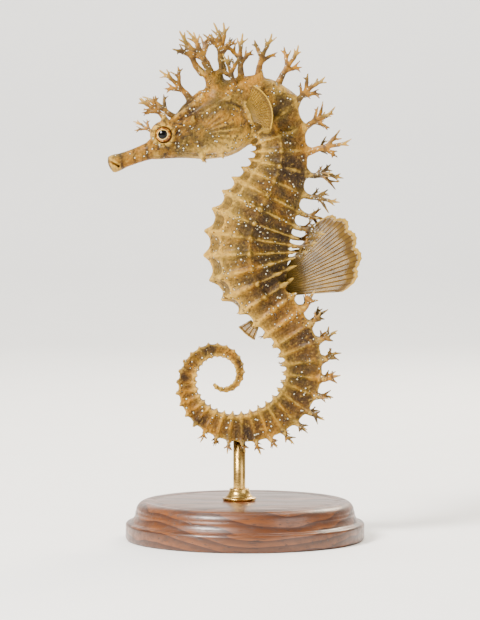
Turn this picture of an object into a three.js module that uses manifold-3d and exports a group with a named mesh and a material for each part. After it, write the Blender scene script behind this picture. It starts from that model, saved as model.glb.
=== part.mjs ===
// A spiny seahorse (Hippocampus guttulatus), life size, on a small display stand.
// Millimetres, +Z up. The origin is the middle of the stand's underside; the animal looks
// along -X, its left side faces -Y, and its tail curls forwards under the belly.
import * as THREE from "three";
import { mergeVertices } from "three/addons/utils/BufferGeometryUtils.js";
import Module from "manifold-3d";

const wasm = await Module();
wasm.setup();

// ---------------------------------------------------------------- driving dimensions
const HEAD_LENGTH = 38; // snout tip to the rear edge of the gill cover
const SNOUT_LENGTH = 12.5;
const TRUNK_LENGTH = 44;
const TAIL_LENGTH = 96;
const TRUNK_RINGS = 11;
const TAIL_RINGS = 38;
const LAST_RING_SHARE = 0.33; // length of the last tail ring over that of the first
const NECK_LENGTH = 9; // body axis inside the back of the head
const GAP = 0.3; // between neighbouring pieces
const FIN_THICKNESS = 0.6;
const FROND_THICKNESS = 0.7;
const EYE_RADIUS = 2.5;
const BASE_RADIUS = 31;
const BASE_HEIGHT = 10;
const ROD_RADIUS = 1.6;
const ROD_IN_BASE = 6;

// ---------------------------------------------------------------- small helpers
const radians = THREE.MathUtils.degToRad;
const lerp = THREE.MathUtils.lerp;
const smoothstep = THREE.MathUtils.smoothstep;

// A smooth function through [place, value] pairs.
function curveThrough(pairs) {
  const slope = pairs.map((_, i) => {
    const a = pairs[Math.max(i - 1, 0)];
    const b = pairs[Math.min(i + 1, pairs.length - 1)];
    return (b[1] - a[1]) / (b[0] - a[0]);
  });
  return (place) => {
    let i = pairs.findIndex((p) => p[0] >= place) - 1;
    if (i === -2) i = pairs.length - 2;
    i = Math.max(i, 0);
    const [s0, v0] = pairs[i];
    const [s1, v1] = pairs[i + 1];
    const h = s1 - s0;
    const t = THREE.MathUtils.clamp((place - s0) / h, 0, 1);
    const rise = t * t * (3 - 2 * t);
    const ease = h * t * (1 - t);
    return lerp(v0, v1, rise) + ease * (slope[i] * (1 - t) - slope[i + 1] * t);
  };
}

function solid(geometry) {
  const bare = geometry.index ? geometry.toNonIndexed() : geometry.clone();
  bare.deleteAttribute("normal");
  bare.deleteAttribute("uv");
  const merged = mergeVertices(bare, 1e-4);
  return new wasm.Manifold(
    new wasm.Mesh({
      numProp: 3,
      vertProperties: merged.attributes.position.array,
      triVerts: new Uint32Array(merged.index.array),
    }),
  );
}

function join(shapes) {
  return shapes.reduce((all, shape) => all.add(shape));
}

const animal = new THREE.Group();

function addPiece(name, shape, finish, parent = animal) {
  const { vertProperties, triVerts } = shape.getMesh();
  const geometry = new THREE.BufferGeometry();
  geometry.setAttribute("position", new THREE.BufferAttribute(vertProperties, 3));
  geometry.setIndex(new THREE.BufferAttribute(triVerts, 1));
  geometry.computeVertexNormals();
  const mesh = new THREE.Mesh(geometry, finish);
  mesh.name = name;
  parent.add(mesh);
}

// ---------------------------------------------------------------- materials
function material(color, roughness, metalness = 0) {
  return new THREE.MeshStandardMaterial({ color, roughness, metalness });
}
const SKIN = material(0xa9743a, 0.55);
const FIN = material(0xcaa466, 0.45);
const EYE = material(0x2a1c10, 0.08);
const WOOD = material(0x4a2c18, 0.4);
const BRASS = material(0xb08d4a, 0.3, 1);

// ---------------------------------------------------------------- the body's axis
// Heading in degrees from straight down, towards the belly, along the axis from the shoulder.
const headingAt = curveThrough([
  [-NECK_LENGTH, -54], [0, -9], [9, 22], [18, 26], [27, 7], [36, -21], [46, -38],
  [55, -30], [63, -3], [72, 34], [82, 68], [91, 98], [99, 130], [106, 166],
  [113, 208], [119, 252], [125, 305], [130, 356], [135, 418], [140, 500],
]);
const SHOULDER = { x: 9.2, z: 102.5 };
const AXIS_STEP = 0.25;

// The axis as points AXIS_STEP apart, from the neck's top to the tail's tip.
const axis = (() => {
  const points = [];
  let x = 0;
  let z = 0;
  for (let s = -NECK_LENGTH; s <= TRUNK_LENGTH + TAIL_LENGTH; s += AXIS_STEP) {
    points.push({ x, z });
    const heading = radians(headingAt(s + AXIS_STEP / 2));
    x -= AXIS_STEP * Math.sin(heading);
    z -= AXIS_STEP * Math.cos(heading);
  }
  const shoulder = points[NECK_LENGTH / AXIS_STEP];
  const shift = { x: SHOULDER.x - shoulder.x, z: SHOULDER.z - shoulder.z };
  return points.map((p) => ({ x: p.x + shift.x, z: p.z + shift.z }));
})();

const RIGHT = new THREE.Vector3(0, 1, 0); // the animal's right

// The point at a place on the axis, moved across by right (+Y) and out towards the back.
function bodyPoint(s, right, out) {
  const at = THREE.MathUtils.clamp((s + NECK_LENGTH) / AXIS_STEP, 0, axis.length - 1.001);
  const i = Math.floor(at);
  const heading = radians(headingAt(s));
  return new THREE.Vector3(
    lerp(axis[i].x, axis[i + 1].x, at - i) + out * Math.cos(heading),
    right,
    lerp(axis[i].z, axis[i + 1].z, at - i) - out * Math.sin(heading),
  );
}

// ---------------------------------------------------------------- rings and body section
const TRUNK_RING = TRUNK_LENGTH / TRUNK_RINGS;
const RING_SHRINK = LAST_RING_SHARE ** (1 / (TAIL_RINGS - 1));
const FIRST_TAIL_RING =
  (TAIL_LENGTH * (1 - RING_SHRINK)) / (1 - RING_SHRINK ** TAIL_RINGS);

// Place on the axis of a ring number; whole numbers are the joints between rings.
function placeOfRing(ring) {
  const past = ring - TRUNK_RINGS;
  if (past <= 0) return ring * TRUNK_RING;
  return TRUNK_LENGTH + (FIRST_TAIL_RING * (1 - RING_SHRINK ** past)) / (1 - RING_SHRINK);
}

const halfDepthAt = curveThrough([
  [-NECK_LENGTH, 9], [-4, 8], [0, 7.2], [6, 7.8], [12, 9.2], [20, 10.7], [27, 11.3],
  [33, 10.9], [39, 9.5], [44, 7.7], [49, 6.5], [56, 5.8], [64, 5.3], [80, 4.4], [99, 3.1],
  [113, 2.2], [122, 1.65], [131, 1.05], [140, 0.5],
]);
const halfWidthAt = curveThrough([
  [-NECK_LENGTH, 4], [0, 4.7], [6, 5.3], [12, 5.9], [20, 6.7], [27, 7], [36, 6.5],
  [44, 5.3], [52, 4.9], [64, 4.6], [80, 4], [99, 2.9], [113, 2.1], [131, 1], [140, 0.5],
]);

// Section corners from the back's midline to the belly's, as shares of half width and half
// depth. The trunk has three ridges a side and a keel; the tail has two a side.
const TRUNK_CORNERS = [
  [0, 0.86], [0.5, 1], [0.84, 0.52], [1, 0], [0.92, -0.4], [0.7, -0.74], [0, -1],
];
const TAIL_CORNERS = [
  [0, 0.78], [0.46, 0.82], [0.94, 0.94], [0.82, 0], [0.84, -0.45], [0.9, -0.9], [0, -0.78],
];
const SUPERIOR_TRUNK = 1;
const SUPERIOR_TAIL = 2;
const LATERAL = 3;
const INFERIOR = 5;
const KEEL = 6;
const COLUMNS = 2 * KEEL;

const tailShare = (ring) => smoothstep(ring, 8.5, 12.5);
const RING_DIP = 0.07; // how far the joints between rings sink below their crests
const FIN_RINGS = { from: 8.9, to: 11.7 }; // where the dorsal fin stands
const FIN_PLATFORM = 1.1; // how far the back's midline is raised under it, as a share

// Height of the knob where a ridge crosses a ring's crest. Every third ring has taller ones.
function knobHeight(column, ring) {
  const stress = Math.floor(ring) % 3 === 0 ? 1.35 : 1;
  const onTrunk = 1 - smoothstep(ring, 10.5, 12);
  const alongTail = 1 - 0.8 * smoothstep(ring, 12, TRUNK_RINGS + TAIL_RINGS);
  const heights = {
    [SUPERIOR_TRUNK]: 1.1 * onTrunk,
    [SUPERIOR_TAIL]: 1.1 * smoothstep(ring, 8, 9.5) * alongTail,
    [LATERAL]: 1 * onTrunk,
    [INFERIOR]: 0.8 * alongTail,
    [KEEL]: 0.4 * onTrunk,
  };
  return stress * (heights[column] ?? 0);
}

// A point of the body's surface. crest is 0 between two rings and 1 at a ring's middle,
// and knob is the share of the knob's height that shows.
function surfacePoint(ring, column, crest, knob) {
  const s = placeOfRing(ring);
  const side = column > KEEL ? -1 : 1;
  const corner = column > KEEL ? COLUMNS - column : column;
  const blend = tailShare(ring);
  const right = lerp(TRUNK_CORNERS[corner][0], TAIL_CORNERS[corner][0], blend);
  const out = lerp(TRUNK_CORNERS[corner][1], TAIL_CORNERS[corner][1], blend);
  const underFin = corner === 0 && ring > FIN_RINGS.from && ring < FIN_RINGS.to;
  const sink = underFin ? 1 : 1 - RING_DIP * (1 - crest);
  const point = new THREE.Vector2(
    right * halfWidthAt(s) * sink,
    out * halfDepthAt(s) * (underFin ? FIN_PLATFORM : sink),
  );
  point.addScaledVector(point.clone().normalize(), knob * knobHeight(corner, ring));
  return bodyPoint(s, side * point.x, point.y);
}

// Rows of a body length as [ring number, crest, knob]. Wide rings have narrower knobs.
const FINE_RINGS = 12;
function sectionRows(from, to) {
  const rows = [[from + trimAt(from), 0, 0]];
  for (let ring = from; ring < to; ring += 1) {
    if (ring > from) rows.push([ring, 0, 0]);
    if (ring < FINE_RINGS) rows.push([ring + 0.3, 0.6, 0.1]);
    rows.push([ring + 0.5, 1, 1]);
    if (ring < FINE_RINGS) rows.push([ring + 0.7, 0.6, 0.1]);
  }
  rows.push([to - trimAt(to), 0, 0]);
  return rows;
}

// Half the gap between two body lengths, as a share of the ring there.
function trimAt(ring) {
  return GAP / 2 / (placeOfRing(ring + 1) - placeOfRing(ring));
}

// A closed tube whose rows and columns of corners come from pointOf(row, column).
function tube(rows, columns, pointOf) {
  const geometry = new THREE.CylinderGeometry(1, 1, 1, columns, rows - 1);
  const position = geometry.attributes.position;
  const middle = (row) => {
    const sum = new THREE.Vector3();
    for (let c = 0; c < columns; c += 1) sum.add(pointOf(row, c));
    return sum.divideScalar(columns);
  };
  const at = new THREE.Vector3();
  for (let i = 0; i < position.count; i += 1) {
    at.fromBufferAttribute(position, i);
    const row = Math.round((0.5 - at.y) * (rows - 1));
    const turn = Math.atan2(at.x, at.z) / (2 * Math.PI);
    const column = Math.round((turn + 1) * columns) % columns;
    const moved = Math.hypot(at.x, at.z) < 0.5 ? middle(row) : pointOf(row, column);
    position.setXYZ(i, moved.x, moved.y, moved.z);
  }
  return geometry;
}

function bodyLength(rows) {
  return tube(rows.length, COLUMNS, (row, column) => {
    const [ring, crest, knob] = rows[row];
    return surfacePoint(ring, column, crest, knob);
  });
}

// ---------------------------------------------------------------- skin fronds
// A frond's outline: a stem with side lobes, as [across, along] shares of its length.
const FROND_OUTLINE = [
  [0.1, 0], [0.1, 0.34], [0.3, 0.6], [0.15, 0.66], [0.04, 1], [-0.1, 0.76], [-0.3, 0.78],
  [-0.1, 0.4], [-0.1, 0],
];
const FROND_ROOT = 0.9; // how deep a frond's foot sits in the skin

// A flat lobed frond from a foot point towards a direction, in the plane of that direction
// and the lean vector.
function frond(foot, direction, lean, length) {
  const shape = new THREE.Shape(
    FROND_OUTLINE.map(([a, b]) => new THREE.Vector2(a * length, b * length)),
  );
  const geometry = new THREE.ExtrudeGeometry(shape, {
    depth: FROND_THICKNESS,
    bevelEnabled: false,
  });
  geometry.translate(0, 0, -FROND_THICKNESS / 2);
  const up = direction.clone().normalize();
  const across = lean.clone().addScaledVector(up, -lean.dot(up)).normalize();
  const face = new THREE.Vector3().crossVectors(across, up);
  const place = new THREE.Matrix4().makeBasis(across, up, face);
  place.setPosition(foot.clone().addScaledVector(up, -FROND_ROOT));
  return geometry.applyMatrix4(place);
}

// The mane: a frond on each ring's dorsal ridge, left and right by turns, from the nape down
// to the underside of the coil. It leaves the dorsal fin free. The nape lies before the first
// ring, so its places have negative ring numbers.
const NAPE = -2;
const MANE_LAST_RING = 27;
const MANE_LEAN = 0.2; // towards the head

// Longest on the nape, shorter towards the dorsal fin, and shorter again along the tail.
function maneLength(ring) {
  if (ring < TRUNK_RINGS) return 11.2 - 0.75 * Math.max(ring, 0);
  return 6.4 - 2.8 * smoothstep(ring, TRUNK_RINGS, 26);
}

function maneFronds(from, to) {
  const fronds = [];
  for (let ring = from; ring < Math.min(to, MANE_LAST_RING); ring += 1) {
    const middle = ring + 0.5;
    if (middle > FIN_RINGS.from && middle < FIN_RINGS.to) continue;
    const corner = middle < FIN_RINGS.from ? SUPERIOR_TRUNK : SUPERIOR_TAIL;
    const side = ring % 2 ? 1 : -1;
    const knob = ring < 0 ? 0 : 0.6; // the nape is smooth
    const foot = surfacePoint(middle, side > 0 ? corner : COLUMNS - corner, 1, knob);
    const s = placeOfRing(middle);
    const centre = bodyPoint(s, 0, 0);
    const headwards = bodyPoint(s - 1, 0, 0).sub(centre);
    const outwards = bodyPoint(s, 0.35 * side, 1).sub(centre);
    outwards.addScaledVector(headwards, MANE_LEAN);
    fronds.push(frond(foot, outwards, headwards, maneLength(ring)));
  }
  return fronds;
}

// ---------------------------------------------------------------- the head
// The head's own frame: +X from the gill cover's rear edge to the snout's tip, +Y to the
// animal's left, +Z to the crown.
const headFrame = new THREE.Group();
headFrame.position.set(0.6, 0, 110);
headFrame.rotation.set(0, radians(20), Math.PI, "ZYX");
headFrame.updateMatrixWorld();
animal.add(headFrame);
const toHead = headFrame.matrixWorld.clone().invert();

const SNOUT_ROOT = HEAD_LENGTH - SNOUT_LENGTH;
const EYE_AT = [22, 3.05, 2.4];
const CORONET_AT = [5.2, 0, 9.2];
const CORONET_HEIGHT = 5.6;
const CORONET_LEAN = -0.16; // radians, backwards
const CORONET_POINTS = 5;
const SIDES = [["left", 1], ["right", -1]];
const DOWN = -1;

// Profiles of the skull along the head, from the nape to the snout's root.
const skullTop = curveThrough([
  [-13, 1.6], [-9, 6.4], [-3, 9], [3, 9.9], [9, 9.4], [14, 7.8], [19, 6], [22.5, 4.6],
  [SNOUT_ROOT, 2.7],
]);
const skullBottom = curveThrough([
  [-13, -2], [-9, -0.5], [-4, -3.6], [1, -6.8], [7, -8.4], [13, -7.4], [18, -5.4], [22, -3.9],
  [SNOUT_ROOT, -2.7],
]);
const skullHalfWidth = curveThrough([
  [-13, 2.6], [-9, 3.6], [-3, 4.4], [3, 5.2], [9, 5.2], [14, 4.6], [19, 4], [22, 3.4],
  [SNOUT_ROOT, 2.6],
]);
const snoutRadius = curveThrough([
  [SNOUT_ROOT, 2.65], [28, 2.15], [32, 1.95], [35, 2.1], [36.6, 2.2], [HEAD_LENGTH, 1.5],
]);

// A tube along the head whose oval section narrows towards the crown.
function headTube(places, columns, top, bottom, halfWidth) {
  return tube(places.length, columns, (row, column) => {
    const along = places[row];
    const turn = (2 * Math.PI * column) / columns;
    const middle = (top(along) + bottom(along)) / 2;
    const half = (top(along) - bottom(along)) / 2;
    const width = halfWidth(along) * (1 - 0.12 * Math.cos(turn));
    return new THREE.Vector3(along, width * Math.sin(turn), middle + half * Math.cos(turn));
  });
}

function ellipsoid(centre, radii, segments) {
  const geometry = new THREE.SphereGeometry(1, segments, segments / 2);
  geometry.rotateX(Math.PI / 2).scale(...radii).translate(...centre);
  return solid(geometry);
}

// A blunt spine of the skull, as a short cone with its foot sunk in.
function spine(foot, direction, height, radius) {
  const geometry = new THREE.CylinderGeometry(radius * 0.25, radius, height * 1.6, 5);
  geometry.translate(0, height * 0.2, 0);
  const along = new THREE.Vector3(...direction).normalize();
  geometry.applyQuaternion(
    new THREE.Quaternion().setFromUnitVectors(new THREE.Vector3(0, 1, 0), along),
  );
  return solid(geometry.translate(...foot));
}

// A point of the coronet's wall, turned round its own axis from the front.
function coronetPoint(turn, radius, height, pointed) {
  const peak = Math.cos(CORONET_POINTS * turn) * pointed;
  const reach = radius * (1 + 0.24 * peak);
  const rise = height + Math.max(peak, 0);
  const point = new THREE.Vector3(reach * Math.cos(turn), 0.85 * reach * Math.sin(turn), rise);
  point.applyAxisAngle(new THREE.Vector3(0, 1, 0), CORONET_LEAN);
  return point.add(new THREE.Vector3(...CORONET_AT));
}

// The five-pointed bony crown: a stalk that flares to a rim of knobs round a hollow top.
const CORONET_RIM = [2.9, CORONET_HEIGHT - 1, 1]; // radius, height, share of the points
function coronetStalk() {
  const columns = 4 * CORONET_POINTS;
  const rows = [[3.3, -1.6, 0], [2.5, 1, 0.1], [2.5, 3, 0.4], CORONET_RIM, [1.5, 3.9, 0.2]];
  return solid(tube(rows.length, columns, (row, column) =>
    coronetPoint((-2 * Math.PI * column) / columns, ...rows[row])));
}

function skullSpines() {
  const middle = [
    spine([24.4, 0, 3.6], [0.5, 0, 1], 1.3, 0.9), // nose
    spine([12.4, 0, 8.2], [0.6, 0, 1], 1.7, 1.2), // in front of the coronet
    spine([-1.6, 0, 9.4], [-0.2, 0, 1], 1.6, 1.3), // nape
    spine([-6, 0, 8], [-0.7, 0, 1], 1.5, 1.3),
  ];
  const paired = SIDES.flatMap(([, side]) => [
    spine([20.6, 3.4 * side, 5], [-0.15, 0.45 * side, 1], 2.2, 1.4), // over the eye
    spine([14.6, 3.5 * side, -5.9], [0.15, 0.8 * side, DOWN], 1.3, 0.9), // cheek
    spine([10, 3.9 * side, -7], [-0.1, 0.8 * side, DOWN], 1.2, 0.9),
    spine([13.6, 4.4 * side, 3.4], [-0.2, side, 0.5], 0.9, 0.9), // temple
  ]);
  return [...middle, ...paired];
}

// Plants fronds on the head from [foot, direction, length] rows.
function plant(rows) {
  const forwards = new THREE.Vector3(1, 0, 0.1);
  return rows.map(([foot, direction, length]) =>
    solid(frond(new THREE.Vector3(...foot), new THREE.Vector3(...direction), forwards, length)));
}

function headFronds() {
  const middle = plant([
    [[24.2, 0, 4], [0.75, 0, 1], 7],
    [[18, 0, 6.2], [0.65, 0, 1], 10.4],
    [[12.6, 0, 9.2], [0.4, 0, 1], 11.4],
    [[-2, 0, 10.2], [-0.3, 0, 1], 11.6],
    [[-6.4, 0, 9], [-0.6, 0, 1], 11.6],
    [[-11, 0, 5.4], [-1, 0, 0.75], 11.2],
  ]);
  const paired = SIDES.flatMap(([, side]) => plant([
    [[20.6, 3.9 * side, 6.6], [0.4, 0.35 * side, 1], 9.2],
    [[0.6, 2.6 * side, 8.4], [-0.1, 0.3 * side, 1], 9.6],
    [[14.4, 4.2 * side, -6.6], [0.2, 0.5 * side, DOWN], 2.6],
  ]));
  return [...middle, ...paired];
}

// One frond on each of the coronet's points.
function coronetFronds() {
  const rows = [];
  for (let i = 0; i < CORONET_POINTS; i += 1) {
    const turn = (2 * Math.PI * i) / CORONET_POINTS;
    const foot = coronetPoint(turn, ...CORONET_RIM).toArray();
    rows.push([foot, [0.3 * Math.cos(turn), 0.3 * Math.sin(turn), 1], 12]);
  }
  return plant(rows);
}

function orbit(side) {
  const [along, left, up] = EYE_AT;
  return ellipsoid([along, (left - 0.3) * side, up], [3.5, 2, 3.5], 12);
}

// The half space beyond a plane, as a big box.
function beyond(point, normal) {
  const SIZE = 120;
  const geometry = new THREE.BoxGeometry(SIZE, SIZE, SIZE).translate(0, 0, SIZE / 2);
  geometry.applyQuaternion(
    new THREE.Quaternion().setFromUnitVectors(new THREE.Vector3(0, 0, 1), normal),
  );
  return solid(geometry.translate(point.x, point.y, point.z));
}

// The space that belongs to the neck: below the first ring's joint, and behind a plane that
// passes between the gill covers and the throat. grow moves both planes outwards.
function neckSpace(grow) {
  const throat = new THREE.Vector3(0, 0, 98);
  const walls = [
    [bodyPoint(0, 0, 0), bodyPoint(1, 0, 0).sub(bodyPoint(0, 0, 0))],
    [throat, new THREE.Vector3(0.8, 0, -0.6)],
  ];
  const [below, behind] = walls.map(([point, normal]) => {
    normal.normalize();
    point.addScaledVector(normal, -grow);
    return beyond(point.applyMatrix4(toHead), normal.transformDirection(toHead));
  });
  return below.intersect(behind);
}

// The space above the coronet's foot.
function coronetSpace(grow) {
  const HEIGHT = 12;
  const geometry = new THREE.CylinderGeometry(4.2, 4.2, HEIGHT, 16).rotateX(Math.PI / 2);
  const [x, y, z] = CORONET_AT;
  return solid(geometry.translate(x, y, z + 0.9 + HEIGHT / 2 - grow));
}

const NECK_RINGS = 3;

// The skull and the neck are joined first and parted at the shoulder, so they flow together.
function buildHeadAndNeck() {
  const places = [-13, -9, -5, -1, 3, 7, 11, 15, 18.5, 22, SNOUT_ROOT - GAP / 2];
  const skull = solid(headTube(places, 18, skullTop, skullBottom, skullHalfWidth));
  const gillCovers = SIDES.map(([, side]) =>
    ellipsoid([7.2, 3 * side, -1.4], [6.6, 3.1, 6.2], 14));
  const orbits = SIDES.map(([, side]) => orbit(side));
  const neckRows = [[-2.2, 0.5, 0], [-1.2, 0.7, 0], [0, 0, 0]];
  neckRows.push(...sectionRows(0, NECK_RINGS).slice(1));
  const neck = solid(bodyLength(neckRows).applyMatrix4(toHead));
  const whole = join([skull, ...gillCovers, ...orbits, neck, ...skullSpines()]);

  const mane = (from, to) =>
    maneFronds(from, to).map((geometry) => solid(geometry.applyMatrix4(toHead)));
  let head = join([whole, ...mane(NAPE, 0)]).subtract(neckSpace(GAP));
  head = join([head, ...headFronds()]).subtract(coronetSpace(GAP));
  for (const [name, side] of SIDES) {
    const [along, left, up] = EYE_AT;
    const socket = new THREE.SphereGeometry(EYE_RADIUS + GAP, 14, 8);
    head = head.subtract(solid(socket.translate(along, left * side, up)));
    const eye = new THREE.Mesh(new THREE.SphereGeometry(EYE_RADIUS, 14, 8), EYE);
    eye.name = "eye_" + name;
    eye.position.set(along, left * side, up);
    headFrame.add(eye);
  }
  addPiece("head", head, SKIN, headFrame);
  const neckPiece = join([whole.intersect(neckSpace(0)), ...mane(0, NECK_RINGS)]);
  addPiece("neck", neckPiece, SKIN, headFrame);
  const stalk = coronetStalk().intersect(coronetSpace(0));
  addPiece("coronet", join([stalk, ...coronetFronds()]), SKIN, headFrame);
}

// The snout's tube ends in a small mouth whose cleft climbs steeply from the chin.
function buildSnout() {
  const places = [SNOUT_ROOT + GAP / 2, 27, 29, 31, 33, 35, 36.4, 37.4, HEAD_LENGTH];
  const top = (along) => snoutRadius(along) - 0.1;
  const bottom = (along) => -snoutRadius(along) - 0.1;
  const snout = solid(headTube(places, 14, top, bottom, snoutRadius));
  const cleft = new THREE.BoxGeometry(2.2, 6, 0.35).rotateY(radians(50));
  cleft.translate(HEAD_LENGTH - 0.3, 0, 0.4);
  addPiece("snout", snout.subtract(solid(cleft)), SKIN, headFrame);
}

// ---------------------------------------------------------------- trunk and tail
const BODY_LENGTHS = [ // name, first ring, ring after its last
  ["trunk_upper", 3, 7], ["trunk_lower", 7, 11], ["tail_base", 11, 15],
  ["tail_outer_bend", 15, 19], ["tail_underside", 19, 25], ["tail_rise", 25, 30],
  ["tail_arch", 30, 36], ["tail_inner_turn", 36, 43], ["tail_tip", 43, 49],
];

// A shape without what leans past the joints at both ends of its body length.
function trimmed(shape, from, to) {
  const ends = [[from, -1], [to, 1]].map(([ring, way]) => {
    const s = placeOfRing(ring);
    const away = bodyPoint(s + 0.5, 0, 0).sub(bodyPoint(s - 0.5, 0, 0)).normalize();
    const point = bodyPoint(s - (way * GAP) / 2, 0, 0);
    return beyond(point, away.multiplyScalar(way));
  });
  return shape.subtract(join(ends));
}

function buildBody(rod) {
  for (const [name, from, to] of BODY_LENGTHS) {
    const flesh = solid(bodyLength(sectionRows(from, to)));
    const mane = maneFronds(from, to).map((geometry) => trimmed(solid(geometry), from, to));
    addPiece(name, join([flesh, ...mane]).subtract(rod), SKIN);
  }
}

// ---------------------------------------------------------------- fins
// A rayed fin as a thin corrugated sheet. edge(t, reach) gives a point for t across the fin
// and reach from root to margin, and face is the direction of its thickness.
function finSheet(rays, steps, edge, face) {
  const geometry = new THREE.BoxGeometry(1, 1, 1, rays, steps, 1);
  const position = geometry.attributes.position;
  for (let i = 0; i < position.count; i += 1) {
    const t = position.getX(i) + 0.5;
    const reach = position.getY(i) + 0.5;
    const moved = edge(t, reach);
    moved.addScaledVector(face, position.getZ(i) * FIN_THICKNESS);
    position.setXYZ(i, moved.x, moved.y, moved.z);
  }
  return solid(geometry);
}

const DORSAL_FIN_HEIGHT = 19.5;
const DORSAL_FIN_SPREAD = radians(34);
const DORSAL_FIN_LOBES = 5;

function buildDorsalFin() {
  const edge = (t, reach) => {
    const ring = lerp(FIN_RINGS.from + 0.15, FIN_RINGS.to - 0.15, t);
    const outwards = bodyPoint(placeOfRing(ring), 0, 1).sub(bodyPoint(placeOfRing(ring), 0, 0));
    const foot = surfacePoint(ring, 0, 1, 0).addScaledVector(outwards, GAP);
    const turn = lerp(DORSAL_FIN_SPREAD, -DORSAL_FIN_SPREAD, t);
    outwards.applyAxisAngle(RIGHT, -turn);
    const lobes = 1 + 0.06 * Math.abs(Math.sin(Math.PI * DORSAL_FIN_LOBES * t));
    const round = 1 - 0.34 * Math.abs(2 * t - 1) ** 3;
    const wave = 0.9 * reach * reach * Math.sin(2 * Math.PI * (1.4 * t + 0.25 * reach));
    return foot
      .addScaledVector(outwards, DORSAL_FIN_HEIGHT * round * lobes * reach)
      .addScaledVector(RIGHT, wave);
  };
  addPiece("dorsal_fin", finSheet(18, 3, edge, RIGHT.clone().negate()), FIN);
}

const PECTORAL_FIN_LENGTH = 6.2;

function buildPectoralFins() {
  for (const [name, side] of SIDES) {
    const face = new THREE.Vector3(0.5 * side, 1, 0).normalize();
    const edge = (t, reach) => {
      const foot = new THREE.Vector3(-0.6, side * 5.9, lerp(2.6, -2.2, t));
      const turn = radians(lerp(48, -44, t));
      const backwards = new THREE.Vector3(-Math.cos(turn), 0.5 * side, Math.sin(turn));
      const round = 0.85 + 0.15 * Math.sin(Math.PI * t);
      return foot.addScaledVector(
        backwards.normalize(), 0.4 + PECTORAL_FIN_LENGTH * round * reach,
      );
    };
    const fin = finSheet(10, 2, edge, face);
    addPiece("pectoral_fin_" + name, fin, FIN, headFrame);
  }
}

const ANAL_FIN_LENGTH = 3.6;

function buildAnalFin() {
  const edge = (t, reach) => {
    const s = placeOfRing(lerp(11.15, 11.75, t));
    const root = -halfDepthAt(s) * 0.86 - GAP;
    const foot = bodyPoint(s, 0, root);
    const outwards = bodyPoint(s, 0, root - 1).sub(foot);
    outwards.applyAxisAngle(RIGHT, radians(lerp(-8, 34, t)));
    return foot.addScaledVector(outwards, ANAL_FIN_LENGTH * reach);
  };
  addPiece("anal_fin", finSheet(4, 2, edge, RIGHT), FIN);
}

// ---------------------------------------------------------------- stand
const LOWEST = axis.reduce((low, p) => (p.z < low.z ? p : low));

function rodShape(radius, bottom, top) {
  const geometry = new THREE.CylinderGeometry(radius, radius, top - bottom, 16);
  geometry.rotateX(Math.PI / 2).translate(LOWEST.x, 0, (top + bottom) / 2);
  return solid(geometry);
}

const ROD_TOP = LOWEST.z - 0.4; // just under the tail's axis

function buildStand() {
  const profile = [ // radius, height
    [0, 0], [BASE_RADIUS - 0.6, 0], [BASE_RADIUS, 0.6], [BASE_RADIUS, 4.4],
    [BASE_RADIUS - 1.8, 5.2], [BASE_RADIUS - 2.4, 7.8], [BASE_RADIUS - 5, BASE_HEIGHT],
    [0, BASE_HEIGHT],
  ];
  const turned = new THREE.LatheGeometry(
    profile.map(([r, z]) => new THREE.Vector2(r, z)), 40,
  ).rotateX(Math.PI / 2);
  const rodFoot = BASE_HEIGHT - ROD_IN_BASE;
  const hole = rodShape(ROD_RADIUS + GAP / 2, rodFoot - GAP, BASE_HEIGHT + 1);
  addPiece("stand_base", solid(turned).subtract(hole), WOOD);
  addPiece("stand_rod", rodShape(ROD_RADIUS, rodFoot, ROD_TOP), BRASS);

  const collar = [ // a ring round the rod's foot
    [ROD_RADIUS + GAP / 2, 0], [4.4, 0], [4.4, 0.8], [3.4, 1.4], [2.9, 2.8],
    [ROD_RADIUS + GAP / 2, 3.2], [ROD_RADIUS + GAP / 2, 0],
  ];
  const ring = new THREE.LatheGeometry(
    collar.map(([r, z]) => new THREE.Vector2(r, z)), 16,
  ).rotateX(Math.PI / 2).translate(LOWEST.x, 0, BASE_HEIGHT);
  addPiece("stand_collar", solid(ring), BRASS);
}

// ---------------------------------------------------------------- the whole model
buildHeadAndNeck();
buildSnout();
buildBody(rodShape(ROD_RADIUS + GAP / 2, 0, ROD_TOP + GAP));
buildDorsalFin();
buildPectoralFins();
buildAnalFin();
buildStand();

export default animal;
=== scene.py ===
# The looks of a life-size spiny seahorse (Hippocampus guttulatus) on a display stand, built
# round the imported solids. Shapes are worked out in millimetres in the model's own frame: +Z
# up, the animal looks along -X with its left side towards -Y. Meshes are made in metres.
import math
import bpy
import numpy as np
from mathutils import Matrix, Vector, noise


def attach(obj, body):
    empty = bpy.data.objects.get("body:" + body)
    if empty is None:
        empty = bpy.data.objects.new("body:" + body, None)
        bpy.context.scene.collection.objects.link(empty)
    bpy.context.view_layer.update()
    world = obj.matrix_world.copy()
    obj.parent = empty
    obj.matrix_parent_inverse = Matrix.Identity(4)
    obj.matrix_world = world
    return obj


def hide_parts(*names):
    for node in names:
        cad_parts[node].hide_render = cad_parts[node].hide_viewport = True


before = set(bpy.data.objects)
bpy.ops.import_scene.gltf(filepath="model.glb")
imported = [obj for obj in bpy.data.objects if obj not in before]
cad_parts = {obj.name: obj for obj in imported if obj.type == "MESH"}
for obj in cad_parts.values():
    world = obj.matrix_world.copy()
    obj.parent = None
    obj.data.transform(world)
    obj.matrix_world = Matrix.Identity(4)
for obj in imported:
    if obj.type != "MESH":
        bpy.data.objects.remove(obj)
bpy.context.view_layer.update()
MM = 0.001
rng = np.random.default_rng(11)

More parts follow.
